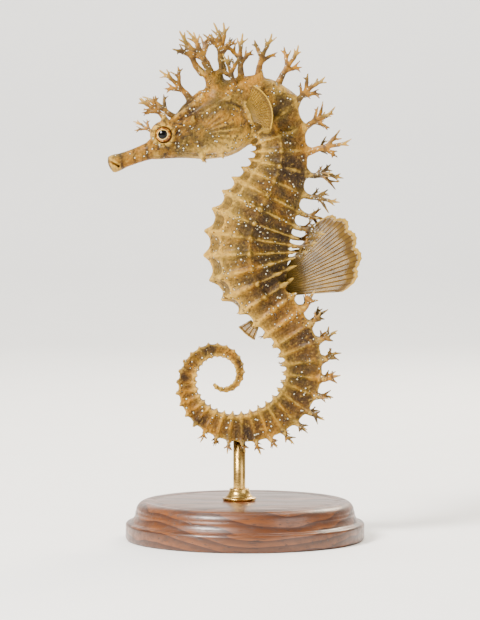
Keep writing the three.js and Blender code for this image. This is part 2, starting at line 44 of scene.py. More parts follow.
# ---- numbers shared with the solids
SNOUT_ROOT = 25.5
TRUNK_LENGTH = 44.0
TAIL_LENGTH = 96.0
TRUNK_RINGS = 11
TAIL_RINGS = 38
LAST_RING_SHARE = 0.33  # length of the tail's last ring as a share of its first
NECK_LENGTH = 9.0
SHOULDER = np.array([9.2, 102.5])  # x and z of the first ring's start
HEAD_PITCH = math.radians(20)
HEAD_REAR = np.array([0.6, 0.0, 110.0])
EYE_AT = np.array([22.0, 3.05, 2.4])  # in the head's frame, as the coronet's foot is
EYE_RADIUS = 2.5
CORONET_AT = np.array([5.2, 0.0, 9.2])
CORONET_LEAN = -0.16
CORONET_POINTS = 5
FIN_RINGS = (8.9, 11.7)  # the rings that carry the dorsal fin
FIN_PLATFORM = 1.1  # how much higher the back's midline is there
NAPE_RINGS = -2  # the plates of the nape lie before the first ring
SIDES = {"left": 1, "right": -1}


# ---- small mathematics
FAR = 9.0  # a distance over which nothing is blended


def curve_through(*pairs):
    """A smooth function through (place, value) pairs."""
    place, value = np.array(pairs, float).T
    before = np.maximum(np.arange(len(place)) - 1, 0)
    after = np.minimum(np.arange(len(place)) + 1, len(place) - 1)
    slope = (value[after] - value[before]) / (place[after] - place[before])

    def at(x):
        i = np.clip(np.searchsorted(place, x) - 1, 0, len(place) - 2)
        h = place[i + 1] - place[i]
        t = np.clip((x - place[i]) / h, 0, 1)
        rise = t * t * (3 - 2 * t)
        ease = h * t * (1 - t)
        tilt = slope[i] * (1 - t) - slope[i + 1] * t
        return value[i] + (value[i + 1] - value[i]) * rise + ease * tilt

    return at


def lerp(a, b, t):
    return a + (b - a) * t


def smoothstep(x, low, high):
    t = np.clip((x - low) / (high - low), 0, 1)
    return t * t * (3 - 2 * t)


def bell(x, centre, width):
    return np.exp(-(((x - centre) / width) ** 2))


def blend_min(a, b, k):
    """The lower of two distances, rounded over k where they meet."""
    h = np.clip(0.5 + 0.5 * (b - a) / k, 0, 1)
    return lerp(b, a, h) - k * h * (1 - h)


def blend_max(a, b, k):
    return -blend_min(-a, -b, k)


def apart(x, y, z, at=(0, 0, 0)):
    """How far points lie from the point at."""
    return np.sqrt((x - at[0]) ** 2 + (y - at[1]) ** 2 + (z - at[2]) ** 2)


def xyz(x, y, z):
    """Points from an array or number for each of their coordinates."""
    return np.stack(np.broadcast_arrays(x, y, z), -1)


def unit(v):
    v = np.asarray(v, float)
    return v / np.linalg.norm(v)


# ---- the body's axis and rings
# Degrees from straight down towards straight ahead, at places down the body from the neck.
heading_at = curve_through(
    (-NECK_LENGTH, -54), (0, -9), (9, 22), (18, 26), (27, 7), (36, -21), (46, -38),
    (55, -30), (63, -3), (72, 34), (82, 68), (91, 98), (99, 130), (106, 166),
    (113, 208), (119, 252), (125, 305), (130, 356), (135, 418), (140, 500),
)
AXIS_STEP = 0.25
axis_s = np.arange(-NECK_LENGTH, TRUNK_LENGTH + TAIL_LENGTH + AXIS_STEP / 2, AXIS_STEP)
step_headings = np.radians(heading_at(axis_s[:-1] + AXIS_STEP / 2))
axis_steps = -AXIS_STEP * np.stack([np.sin(step_headings), np.cos(step_headings)], 1)
axis_xz = np.vstack([[0, 0], np.cumsum(axis_steps, 0)])
axis_xz += SHOULDER - axis_xz[int(NECK_LENGTH / AXIS_STEP)]


def axis_at(s):
    """The axis's x, z and heading in radians at a place on it."""
    x, z = (np.interp(s, axis_s, line) for line in axis_xz.T)
    return x, z, np.radians(heading_at(s))


def body_point(s, right, out):
    """The point at a place on the axis, moved to the animal's right and out to its back."""
    x, z, heading = axis_at(s)
    return xyz(x + out * np.cos(heading), right, z - out * np.sin(heading))


TRUNK_RING = TRUNK_LENGTH / TRUNK_RINGS
RING_SHRINK = LAST_RING_SHARE ** (1 / (TAIL_RINGS - 1))
FIRST_TAIL_RING = TAIL_LENGTH * (1 - RING_SHRINK) / (1 - RING_SHRINK**TAIL_RINGS)


def place_of_ring(ring):
    past = np.maximum(np.asarray(ring, float) - TRUNK_RINGS, 0)
    tail = FIRST_TAIL_RING * (1 - RING_SHRINK**past) / (1 - RING_SHRINK)
    return np.minimum(ring, TRUNK_RINGS) * TRUNK_RING + tail


def ring_of_place(s):
    tail = np.maximum(s - TRUNK_LENGTH, 0)
    past = np.log(1 - tail * (1 - RING_SHRINK) / FIRST_TAIL_RING) / math.log(RING_SHRINK)
    return np.minimum(s, TRUNK_LENGTH) / TRUNK_RING + past


def off_middle(ring):
    """How far a place is from its ring's middle, from -0.5 to 0.5 of a ring."""
    return ring - np.floor(ring) - 0.5


def ring_length(ring):
    return TRUNK_RING * RING_SHRINK ** np.maximum(ring - TRUNK_RINGS, 0)


half_depth_at = curve_through(
    (-NECK_LENGTH, 9), (-4, 8), (0, 7.2), (6, 7.8), (12, 9.2), (20, 10.7), (27, 11.3),
    (33, 10.9), (39, 9.5), (44, 7.7), (49, 6.5), (56, 5.8), (64, 5.3), (80, 4.4), (99, 3.1),
    (113, 2.2), (122, 1.65), (131, 1.05), (140, 0.5),
)
half_width_at = curve_through(
    (-NECK_LENGTH, 4), (0, 4.7), (6, 5.3), (12, 5.9), (20, 6.7), (27, 7), (36, 6.5),
    (44, 5.3), (52, 4.9), (64, 4.6), (80, 4), (99, 2.9), (113, 2.1), (131, 1), (140, 0.5),
)


def nearest_on_axis(x, z):
    """Each point's place on the axis, its distance out to the back, and how far it lies
    before the axis's start (negative) or past its end."""
    thick = half_depth_at(axis_s)
    s = np.empty(len(x))
    for part in np.array_split(np.arange(len(x)), len(x) // 20000 + 1):  # to save memory
        gap = np.hypot(x[part, None] - axis_xz[:, 0], z[part, None] - axis_xz[:, 1]) - thick
        s[part] = axis_s[gap.argmin(1)]
    for _ in range(6):
        axis_x, axis_z, heading = axis_at(s)
        dx, dz = x - axis_x, z - axis_z
        along = -dx * np.sin(heading) - dz * np.cos(heading)
        out = dx * np.cos(heading) - dz * np.sin(heading)
        s = np.clip(s + 0.8 * np.clip(along, -1, 1), axis_s[0], axis_s[-1])
    before = np.minimum(along, 0) * (s == axis_s[0])
    after = np.maximum(along, 0) * (s == axis_s[-1])
    return s, out, before + after


# Section corners from the back's midline to the belly's, as shares of half width and depth.
TRUNK_CORNERS = np.array(
    [(0, 0.86), (0.5, 1), (0.84, 0.52), (1, 0), (0.92, -0.4), (0.7, -0.74), (0, -1)]
)
TAIL_CORNERS = np.array(
    [(0, 0.78), (0.46, 0.82), (0.94, 0.94), (0.82, 0), (0.84, -0.45), (0.9, -0.9), (0, -0.78)]
)
SUPERIOR_TRUNK, SUPERIOR_TAIL, LATERAL, INFERIOR, KEEL = 1, 2, 3, 5, 6
TRUNK_RIDGES = (0, 1, 0, 1, 0, 1, 1)  # 1 where a corner carries a ridge
TAIL_RIDGES = (0, 0, 1, 0, 0, 1, 0)


def tail_share(ring):
    return smoothstep(ring, 8.5, 12.5)


def ring_crest(ring):
    """0 in the joint between two rings, 1 on the narrow rib round a ring's middle."""
    off = np.abs(off_middle(ring))
    rib = 0.35 * np.cos(math.pi * off) ** 2 + 0.65 * bell(off, 0, 0.14)
    return lerp(1, rib, smoothstep(ring, NAPE_RINGS - 0.4, NAPE_RINGS + 0.4))


def knob_height(corner, ring):
    """Height of the knob where a ridge crosses a ring's rib. Every third ring's are taller."""
    stress = np.where(np.floor(ring) % 3 == 0, 1.35, 1.0)
    on_trunk = 1 - smoothstep(ring, 10.5, 12)
    behind_head = ring > 0
    along_tail = 1 - 0.8 * smoothstep(ring, 12, TRUNK_RINGS + TAIL_RINGS)
    height = {
        SUPERIOR_TRUNK: on_trunk * np.where(behind_head, 1.1, 0.5 * (ring > NAPE_RINGS)),
        SUPERIOR_TAIL: 1.1 * smoothstep(ring, 8, 9.5) * along_tail,
        LATERAL: 1.0 * on_trunk * behind_head,
        INFERIOR: 0.8 * along_tail * behind_head,
        KEEL: 0.4 * on_trunk * behind_head,
    }
    return stress * height[corner]


def corner_at(corner, ring, s):
    """A section corner's half distances across and out, in millimetres."""
    share = tail_share(ring)
    across, out = (lerp(*ends, share) for ends in zip(TRUNK_CORNERS[corner], TAIL_CORNERS[corner]))
    if corner == 0:
        raised = smoothstep(ring, FIN_RINGS[0] - 0.4, FIN_RINGS[0])
        raised = raised * (1 - smoothstep(ring, FIN_RINGS[1], FIN_RINGS[1] + 0.4))
        out = out * lerp(1, FIN_PLATFORM, raised)
    return across * half_width_at(s), out * half_depth_at(s)


RIDGE_ROUNDING = 0.45
RING_DIP = 0.08  # how much of its width the body loses in the joint between two rings
PANEL_DISH = 0.6  # how deep the skin sinks between ribs and ridges
KNOB_CORNERS = (SUPERIOR_TRUNK, SUPERIOR_TAIL, LATERAL, INFERIOR, KEEL)


def knob_distance(corner, ring, s, across, out):
    """Distance to the blunt knob of one ridge on the nearest ring."""
    length = ring_length(ring)
    height = knob_height(corner, ring)
    a, b = corner_at(corner, ring, s)
    size = np.hypot(a, b)
    up = ((across - a) * a + (out - b) * b) / size
    aside = ((out - b) * a - (across - a) * b) / size
    sunk = 0.18 * length
    tall = height + sunk
    t = np.clip((up + sunk) / tall, 0, 1)
    gap = apart(off_middle(ring) * length, aside, up + sunk, (0, 0, t * tall))
    return np.where(height > 0.05, gap - length * lerp(0.24, 0.085, t), FAR)


def body_distance(s, across, out, past):
    """How far points lie outside the ringed body, from their places round its axis."""
    ring = ring_of_place(s)
    reach = np.maximum(np.hypot(across, out), 1e-3)
    swell = np.sqrt(1 + (np.maximum(past, 0) / reach) ** 2)
    across = across * swell
    out = out * swell
    rib = ring_crest(ring)
    half_width = half_width_at(s)
    rounding = np.minimum(RIDGE_ROUNDING, 0.35 * half_width)
    sink = 1 - RING_DIP * (1 - rib) - 0.8 * rounding / half_width
    corners = [np.multiply(corner_at(corner, ring, s), sink) for corner in range(KEEL + 1)]
    shape = np.broadcast(across, out).shape
    best = np.full(shape, 1e9)
    panel = np.zeros(shape)
    outside = np.ones(shape, bool)
    ridges = [lerp(a, b, tail_share(ring)) for a, b in zip(TRUNK_RIDGES, TAIL_RIDGES)]
    for i, (ax, ay) in enumerate(corners):
        bx, by = corners[(i + 1) % len(corners)]
        ex, ey = bx - ax, by - ay
        qx, qy = across - ax, out - ay
        if i < KEEL:
            t = np.clip((qx * ex + qy * ey) / (ex * ex + ey * ey), 0, 1)
            gap = (qx - t * ex) ** 2 + (qy - t * ey) ** 2
            here, there = ridges[i], ridges[i + 1]
            depth = 1 - lerp(here, there, t) + 3.2 * t * (1 - t) * here * there
            panel = np.where(gap < best, depth, panel)
            best = np.minimum(best, gap)
        above, below, left = out >= ay, out < by, ex * qy > ey * qx
        outside ^= (above & below & left) | ~(above | below | left)
    distance = np.sqrt(best) * np.where(outside, 1, -1) - rounding
    dish = PANEL_DISH * smoothstep(half_width, 0, 6)
    distance = distance + dish * panel**0.7 * (1 - 0.85 * rib)
    for corner in KNOB_CORNERS:
        knob = knob_distance(corner, ring, s, across, out)
        distance = blend_min(distance, knob, 0.15 * ring_length(ring))
    return np.where(past < 0, np.maximum(distance, -past), distance)


# ---- the head
# Head frame: X from the gill cover's rear edge to the snout's tip, Y to the left, Z up.
HEAD_BASIS = np.array([
    [-math.cos(HEAD_PITCH), 0, -math.sin(HEAD_PITCH)],
    [0, -1, 0],
    [-math.sin(HEAD_PITCH), 0, math.cos(HEAD_PITCH)],
])


def to_head(points):
    return (np.asarray(points) - HEAD_REAR) @ HEAD_BASIS.T


def from_head(points):
    return HEAD_REAR + np.asarray(points, float) @ HEAD_BASIS


SKULL_REAR = -13
skull_top = curve_through(
    (SKULL_REAR, 1.6), (-9, 6.4), (-3, 9), (3, 9.9), (9, 9.4), (14, 7.8), (19, 6), (22.5, 4.6),
    (SNOUT_ROOT, 2.7),
)
skull_bottom = curve_through(
    (SKULL_REAR, -2), (-9, -0.5), (-4, -3.6), (1, -6.8), (7, -8.4), (13, -7.4), (18, -5.4),
    (22, -3.9), (SNOUT_ROOT, -2.7),
)
skull_half_width = curve_through(
    (SKULL_REAR, 2.6), (-9, 3.6), (-3, 4.4), (3, 5.2), (9, 5.2), (14, 4.6), (19, 4), (22, 3.4),
    (SNOUT_ROOT, 2.6),
)
SNOUT_TIP = 37
snout_radius = curve_through(
    (20, 3.6), (SNOUT_ROOT, 2.6), (28, 2.15), (32, 1.95), (34.5, 2.05), (36.4, 2.3),
    (SNOUT_TIP, 2.25),
)


def oval(y, z, half_width, half_height):
    """Distance outside an oval, near enough close to its edge."""
    reach = np.hypot(y, z) + 1e-6
    share = np.hypot(y / half_width, z / half_height) + 1e-6
    return reach * (1 - 1 / share)


def ellipsoid(x, y, z, centre, radii):
    dx, dy, dz = x - centre[0], y - centre[1], z - centre[2]
    share = apart(dx / radii[0], dy / radii[1], dz / radii[2]) + 1e-6
    return (apart(dx, dy, dz) + 1e-6) * (1 - 1 / share)


def spike(x, y, z, foot, tip, wide, narrow):
    """A tapering rod with round ends."""
    fx, fy, fz = foot
    bx, by, bz = (t - f for t, f in zip(tip, foot))
    qx, qy, qz = x - fx, y - fy, z - fz
    t = np.clip((qx * bx + qy * by + qz * bz) / (bx * bx + by * by + bz * bz), 0, 1)
    return apart(qx, qy, qz, (t * bx, t * by, t * bz)) - lerp(wide, narrow, t)


def coronet_point(turn, radius, height):
    lean = np.array([math.sin(CORONET_LEAN), 0, math.cos(CORONET_LEAN)])
    front = np.array([lean[2], 0, -lean[0]])
    side = np.array([0, 0.85 * math.sin(turn), 0])
    return CORONET_AT + lean * height + radius * (front * math.cos(turn) + side)


# Low ridges and sharper spines of the skull as (foot, tip, radius there, radius at the tip).
SKULL_RIDGES = [
    ((22, 0, 3.6), (14.5, 0, 6.6), 0.6, 0.9),  # from the nose to the coronet
    ((14.5, 0, 6.8), (9.5, 0, 8.8), 0.9, 1.2),
    ((2.4, 0, 8.8), (-6, 0, 8), 1, 0.9),  # nape
    ((19.4, 2.9, 4.6), (9.4, 2.4, 8), 0.8, 0.8),  # brow
    ((19, 3.6, 3.4), (13.6, 4.2, 3.5), 0.6, 0.6),  # behind the eye
    ((13.6, 4, 3.5), (3, 4.1, 5.6), 0.6, 0.4),  # over the gill cover
    ((18.8, 2.9, -2.4), (13, 4, -5), 0.6, 0.7),  # jaw
    ((13, 4, -5), (7, 4.6, -6.8), 0.7, 0.5),
    ((-3.4, 4, -5), (-4.8, 3.9, 5), 0.9, 0.9),  # shoulder ring
]
SKULL_SPINES = [
    ((24.2, 0, 3), (25, 0, 4.9), 0.95, 0.3),  # nose
    ((12.6, 0, 8.2), (13.4, 0, 10.3), 0.95, 0.35),  # in front of the coronet
    ((-1.4, 0, 8.6), (-2, 0, 11), 1.3, 0.45),  # nape
    ((-6, 0, 7.4), (-7.2, 0, 9.6), 1.3, 0.45),
    ((20.7, 3.3, 4.6), (20.3, 4.5, 7.5), 1.3, 0.38),  # over the eye
    ((14.4, 3.4, -5.6), (14.8, 4.7, -7.4), 0.95, 0.28),  # cheek
    ((9.9, 3.8, -6.6), (9.7, 5.1, -8.3), 0.9, 0.28),
    ((13.8, 4, 3.2), (13.2, 5.5, 4.2), 0.9, 0.25),  # temple
    ((-3.6, 4.2, -4.6), (-4.4, 6.1, -5.2), 1.1, 0.32),  # shoulder ring
    ((-4.4, 4, 4.6), (-5.4, 5.7, 5.4), 1.1, 0.32),
]
GILL_AT, GILL_RADII = (7.2, 3.0, -1.4), (6.6, 3.1, 6.2)
GILL_STRIAE = 30
NOSTRILS = ((24.9, 1.75, 2.3), (23.9, 2.3, 2.9))  # the two of one side
MOUTH_CORNER, MOUTH_RUN = (35.7, -1.2), (2.4, 2.7)  # the cleft starts here and runs so far


def skull_section(x):
    """Height of the skull's middle, half its height and half its width at x."""
    x = np.clip(x, SKULL_REAR, SNOUT_ROOT)
    top, bottom = skull_top(x), skull_bottom(x)
    return (top + bottom) / 2, (top - bottom) / 2, skull_half_width(x)


def round_eye(x, z):
    """Distance from the eye's middle and angle round it, as seen from the side."""
    dx, dz = x - EYE_AT[0], z - EYE_AT[2]
    return np.hypot(dx, dz), np.arctan2(dz, dx)


def head_distance(x, y, z):
    """How far points lie outside the head; y is the distance from the midline."""
    middle, half, width = skull_section(x)
    narrowed = 1 - 0.12 * np.clip((z - middle) / half, -1, 1)  # towards the top
    skull = oval(y, z - middle, width * narrowed, half)
    skull = skull + 0.55 * bell(y, 0, 1.3) * bell(x, 18.5, 4) * (z > 0)  # trough between the eyes
    skull = blend_max(skull, np.maximum(x - SNOUT_ROOT - 0.5, SKULL_REAR - 0.5 - x), 1.5)

    past_tip = np.maximum(x - SNOUT_TIP, 0) * 2.0
    flat = 0.94 + 0.06 * smoothstep(x, 26, 36)  # the snout is a little higher than wide
    snout = np.sqrt((y / flat) ** 2 + (z + 0.1) ** 2 + past_tip**2) - snout_radius(x)
    snout = np.maximum(snout, 19 - x)
    distance = blend_min(skull, snout, 1.2)

    gill = ellipsoid(x, y, z, GILL_AT, GILL_RADII)
    rim = np.hypot((x - GILL_AT[0]) / 6.8, (z - GILL_AT[2]) / 6.4)
    fan = np.arctan2(z + 0.6, x - 13.5)
    outer = smoothstep(y, 2.5, 4)
    gill = gill - 0.17 * np.cos(GILL_STRIAE * fan) * (1 - smoothstep(rim, 0.75, 0.95)) * outer
    gill = gill - 0.25 * bell(rim, 0.93, 0.07) * outer
    distance = blend_min(distance, gill, 0.7)
    behind = smoothstep(-x, -8, -1) * outer
    distance = distance + 0.5 * bell(rim, 1.06, 0.05) * (0.3 + 0.7 * behind) * outer

    orbit = ellipsoid(x, y, z, EYE_AT - (0, 0.3, 0), (3.6, 2.1, 3.6))
    from_eye, around = round_eye(x, z)
    lid = np.hypot(from_eye - 2.68, y - 4.15) - 0.5
    orbit = blend_min(orbit, lid, 0.7)
    folds = 0.05 * np.cos(16 * around) * bell(from_eye, 2.9, 0.5)
    distance = blend_min(distance, orbit - folds, 0.8)

    for rows, rounding in ((SKULL_RIDGES, 1.3), (SKULL_SPINES, 0.7)):
        for foot, end, wide, narrow in rows:
            distance = blend_min(distance, spike(x, y, z, foot, end, wide, narrow), rounding)

    foot, top, hollow = (coronet_point(0, 0, height) for height in (-1, 3.2, 5.7))
    distance = blend_min(distance, spike(x, y, z, foot, top, 3.0, 2.1), 1.2)
    crown = np.full_like(distance, FAR)
    for i in range(CORONET_POINTS):
        turn = 2 * math.pi * i / CORONET_POINTS
        if math.sin(turn) > -0.01:  # the others lie on the far side
            foot, tip = coronet_point(turn, 1.3, 2.6), coronet_point(turn, 3.5, 5.7)
            crown = np.minimum(crown, spike(x, y, z, foot, tip, 1.05, 0.4))
    distance = blend_min(distance, crown, 0.7)
    distance = blend_max(distance, 1.9 - apart(x, y, z, hollow), 0.4)

    for at in NOSTRILS:
        distance = blend_min(distance, apart(x, y, z, at) - 0.42, 0.35)
        distance = blend_max(distance, 0.3 - apart(x, y - 0.3, z - 0.25, at), 0.2)

    pad = ellipsoid(x, y, z, (-0.4, 4.6, 0.2), (1.2, 1.3, 3.2))  # foot of the pectoral fin
    distance = blend_min(distance, pad, 0.8)
    slit = ellipsoid(x, y, z, (0.2, 5.2, 5.2), (1.3, 0.9, 0.45))  # gill opening
    distance = blend_max(distance, -slit, 0.5)

    # the mouth: a short cleft that climbs from under the tip, between soft lips
    (mx, mz), (run_x, run_z) = MOUTH_CORNER, MOUTH_RUN
    t = np.clip(((x - mx) * run_x + (z - mz) * run_z) / (run_x**2 + run_z**2), 0, 1.1)
    cleft = np.hypot(x - mx - run_x * t, z - mz - run_z * t)
    distance = distance - 0.16 * bell(cleft, 0.6, 0.25) * (x > 34.5)
    inner = np.hypot(y, z - 0.3) - 1.75
    distance = blend_max(distance, -np.maximum(cleft - 0.26, -inner), 0.12)
    return blend_max(distance, EYE_RADIUS + 0.05 - apart(x, y, z, EYE_AT), 0.12)


# ---- one skin over the whole body
SKIN_STEP = 0.25
SKIN_FACES = 196_000
NEAR = 2.6  # how far round the surface distances are worked out


def skin_field():
    """Distances to the skin on a grid, mirrored about the midline."""
    xs, ys, zs = (np.arange(*ends, SKIN_STEP) for ends in ((-39.0, 24), (0.0, 10.5), (20.0, 129)))
    cx, cz = (g.ravel() for g in np.meshgrid(xs, zs, indexing="ij"))
    s, out, past = nearest_on_axis(cx, cz)
    head_x, _, head_z = to_head(xyz(cx, 0, cz)).T
    in_body = (np.abs(out) < half_depth_at(s) * 1.1 + NEAR) & (np.abs(past) < NEAR)
    in_head = (head_x > SKULL_REAR - 3) & (head_x < SNOUT_TIP + 3.5)
    in_head &= (head_z > -12) & (head_z < 18)
    field = np.full((len(cx), len(ys)), FAR, np.float32)
    for part in np.array_split(np.flatnonzero(in_body), 8):
        field[part] = body_distance(s[part, None], ys, out[part, None], past[part, None])
    for part in np.array_split(np.flatnonzero(in_head), 8):
        distance = head_distance(head_x[part, None], ys, head_z[part, None])
        field[part] = blend_min(field[part], distance, 1.6)
    field = field.reshape(len(xs), len(zs), len(ys)).transpose(0, 2, 1)
    whole = np.concatenate([field[:, :0:-1], field], 1)
    return whole, np.array([xs[0], -ys[-1], zs[0]])


def without_checkers(field):
    """Fills each grid square that is inside at two opposite corners only, so that no edge of
    the surface joins four faces."""
    field = field.copy()
    found = True
    while found:
        found = False
        for way in range(3):
            moved = np.moveaxis(field, way, 0)
            corner = [moved[:, :-1, :-1], moved[:, :-1, 1:], moved[:, 1:, 1:], moved[:, 1:, :-1]]
            a, b, c, d = (part < 0 for part in corner)
            checker = (a == c) & (b == d) & (a != b)
            found |= checker.any()
            for part in corner:
                part[checker] = np.minimum(part[checker], -0.01)
    return field


def surface_net(field, origin, step):
    """A mesh of four-sided faces on the field's zero level: points and faces."""
    field = without_checkers(field)
    inside = field < 0
    n = np.array(field.shape) - 1
    corners = list(np.ndindex(2, 2, 2))
    count = np.zeros(n, np.int8)
    for corner in corners:
        count += inside[tuple(slice(i, i + most) for i, most in zip(corner, n))]
    cells = np.argwhere((count > 0) & (count < 8))
    number = np.full(n, -1)
    number[tuple(cells.T)] = np.arange(len(cells))
    total = np.zeros((len(cells), 3))
    hits = np.zeros(len(cells))
    edges = [(a, way) for a in corners for way in np.eye(3, dtype=int) if not (a * way).any()]
    for start, way in edges:
        here, there = (field[tuple((cells + end).T)] for end in (start, start + way))
        cross = (here < 0) != (there < 0)
        t = np.where(cross, here / np.where(cross, here - there, 1), 0)
        total += (start + t[:, None] * way) * cross[:, None]
        hits += cross
    points = origin + (cells + total / hits[:, None]) * step
    faces = []
    for way in range(3):
        others = [(way + 1) % 3, (way + 2) % 3]
        change = np.diff(inside.astype(np.int8), axis=way)
        edge = np.argwhere(change != 0)
        edge = edge[((edge[:, others] > 0) & (edge[:, others] < n[others])).all(1)]
        back_j, back_k = np.eye(3, dtype=int)[others]
        round_edge = (edge - back_j - back_k, edge - back_k, edge, edge - back_j)
        quad = np.stack([number[tuple(cell.T)] for cell in round_edge], 1)
        entering = change[tuple(edge.T)] > 0
        quad[entering] = quad[entering, ::-1]
        faces.append(quad)
    return points, np.concatenate(faces)


def new_object(name, points, faces, scale=MM):
    """A smooth object from faces and points, in millimetres unless scale says otherwise."""
    mesh = bpy.data.meshes.new(name)
    mesh.from_pydata((np.asarray(points) * scale).tolist(), [], faces)
    mesh.validate()
    mesh.polygons.foreach_set("use_smooth", [True] * len(mesh.polygons))
    thing = bpy.data.objects.new(name, mesh)
    bpy.context.scene.collection.objects.link(thing)
    return thing


def make_piece(name, points, faces, paint, slot, *replaced):
    """A piece of the model that takes the place of the named solids."""
    piece = new_object(name, points, faces)
    piece.data.materials.append(paint)
    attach(piece, "root")
    if replaced:
        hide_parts(*replaced)
    return piece


def add_attribute(thing, name, values):
    layer = thing.data.attributes.new(name, "FLOAT", "POINT")
    layer.data.foreach_set("value", np.asarray(values, np.float32).ravel())


def add_uv(thing, corners):
    """Sets the OFBake map from one (u, v) pair for each face corner."""
    layer = thing.data.uv_layers.new(name="OFBake")
    layer.uv.foreach_set("vector", np.asarray(corners, np.float32).ravel())


# ---- materials
class Paint:
    """One material under way. Short calls add its nodes, and self.colour is its colour so far."""

    def __init__(self, name):
        self.material = bpy.data.materials.new(name)
        self.material.use_nodes = True
        tree = self.material.node_tree
        self.nodes, self.links = tree.nodes, tree.links
        self.shader = self.nodes["Principled BSDF"]
        self.place = self.nodes.new("ShaderNodeTexCoord").outputs["Object"]

    def put(self, socket, value):
        if isinstance(value, bpy.types.NodeSocket):
            self.links.new(value, socket)
        else:
            socket.default_value = value

    def node(self, kind, values, output=0, **settings):
        """One output of a new node. values has a number or another node's output for each input."""
        node = self.nodes.new("ShaderNode" + kind)
        for name, setting in settings.items():
            setattr(node, name, setting)
        for socket, value in values.items():
            self.put(node.inputs[socket], value)
        return node.outputs[output]

    def math(self, operation, *values):
        return self.node("Math", dict(enumerate(values)), operation=operation)

    def times(self, a, b):
        return self.math("MULTIPLY", a, b)

    def noise(self, scale, detail=3.0, rough=0.55, place=None):
        place = place or self.place
        values = {"Vector": place, "Scale": scale, "Detail": detail, "Roughness": rough}
        return self.node("TexNoise", values, "Fac")

    def cells(self, scale):
        """Distances to the middles of scattered cells."""
        return self.node("TexVoronoi", {"Vector": self.place, "Scale": scale}, "Distance")

    def range(self, value, low, high, to_low=0.0, to_high=1.0, way="SMOOTHSTEP"):
        values = dict(enumerate((value, low, high, to_low, to_high)))
        return self.node("MapRange", values, interpolation_type=way)

    def mix(self, share, a, b):
        return self.node("Mix", {0: share, 6: a, 7: b}, 2, data_type="RGBA")

    def stretched(self, *scale):
        return self.node("Mapping", {"Scale": scale, "Vector": self.place})

    def read(self, name):
        """A number that the mesh holds for each of its points."""
        return self.node("Attribute", {}, "Fac", attribute_name=name)

    def bump(self, height, depth, strength=1.0):
        return self.node("Bump", {"Strength": strength, "Distance": depth, "Height": height})

    def over(self, share, colour, most=1.0):
        """Lays a colour over the colour so far, most thick where share is 1."""
        thick = share if most == 1 else self.times(share, most)
        self.colour = self.mix(thick, self.colour, colour)

    def mottled(self):
        """The olive and ochre patches under all the animal's other markings."""
        self.colour = self.mix(self.range(self.noise(100, 5, 0.62), 0.4, 0.6), OLIVE, OCHRE)

    def finished(self, **values):
        """The material, with the shader's inputs set. An input's spaces are given as _."""
        values["Base_Color"] = self.colour
        for name, value in values.items():
            self.put(self.shader.inputs[name.replace("_", " ")], value)
        return self.material


def rgb(*channels):
    """A colour given as it looks on screen, 0 to 255 a channel."""
    shares = [c / 255 for c in channels]
    return (*(c / 12.92 if c < 0.04045 else ((c + 0.055) / 1.055) ** 2.4 for c in shares), 1.0)


OCHRE, OLIVE, BROWN = rgb(144, 96, 15), rgb(80, 60, 12), rgb(38, 23, 8)
CREAM, WHITE, DARK = rgb(196, 156, 66), rgb(236, 226, 190), rgb(18, 11, 5)


def skin_paint(name):
    """Mottled ochre skin; saddles, belly, ridges and hollows come from the mesh's attributes.
    The hollows get painted shade and the ridges a painted highlight.
    """
    p = Paint(name)
    p.mottled()
    p.over(p.read("belly"), CREAM, 0.6)
    saddle = p.times(p.read("saddle"), p.range(p.noise(180, 5), 0.32, 0.52))
    p.over(saddle, BROWN, 0.92)
    large_relief_shading, small_relief_shading = p.read("large_relief_shading"), p.read("small_relief_shading")
    # Painted shade: the skin is darkened in its broad and small hollows.
    p.over(p.range(large_relief_shading, -0.02, -0.35), BROWN, 0.42)
    p.over(p.range(small_relief_shading, -0.01, -0.08), BROWN, 0.4)
    p.over(p.read("joint"), DARK, 0.35)
    # Painted highlight: broad and small crests and knobs are made paler.
    p.over(p.range(large_relief_shading, 0.15, 0.7), CREAM, 0.4)
    p.over(p.range(small_relief_shading, 0.05, 0.2), CREAM, 0.35)
    p.over(p.read("streak"), DARK, 0.75)
    wavy = p.math("ABSOLUTE", p.math("SUBTRACT", p.noise(170, 2), 0.5))
    lines = p.range(wavy, 0.05, 0.025)
    dots = p.cells(1050)
    p.over(p.times(p.range(dots, 0.5, 0.36), lines), BROWN, 0.75)
    p.over(p.times(p.range(dots, 0.27, 0.18), lines), WHITE, 0.75)
    fine = p.noise(700, 4)
    p.over(p.range(fine, 0.42, 0.75), BROWN, 0.5)
    p.over(p.range(p.noise(1300, 3), 0.55, 0.72), CREAM, 0.25)
    grain = p.math("ADD", p.noise(2200, 4), p.times(p.cells(1300), -0.9))
    return p.finished(
        Roughness=p.range(fine, 0.3, 0.7, 0.46, 0.68), Normal=p.bump(grain, 0.0004),
        Subsurface_Weight=0.05, Subsurface_Radius=(1.0, 0.45, 0.2), Subsurface_Scale=0.0008,
        Coat_Weight=0.05, Coat_Roughness=0.25, Specular_IOR_Level=0.15,
    )


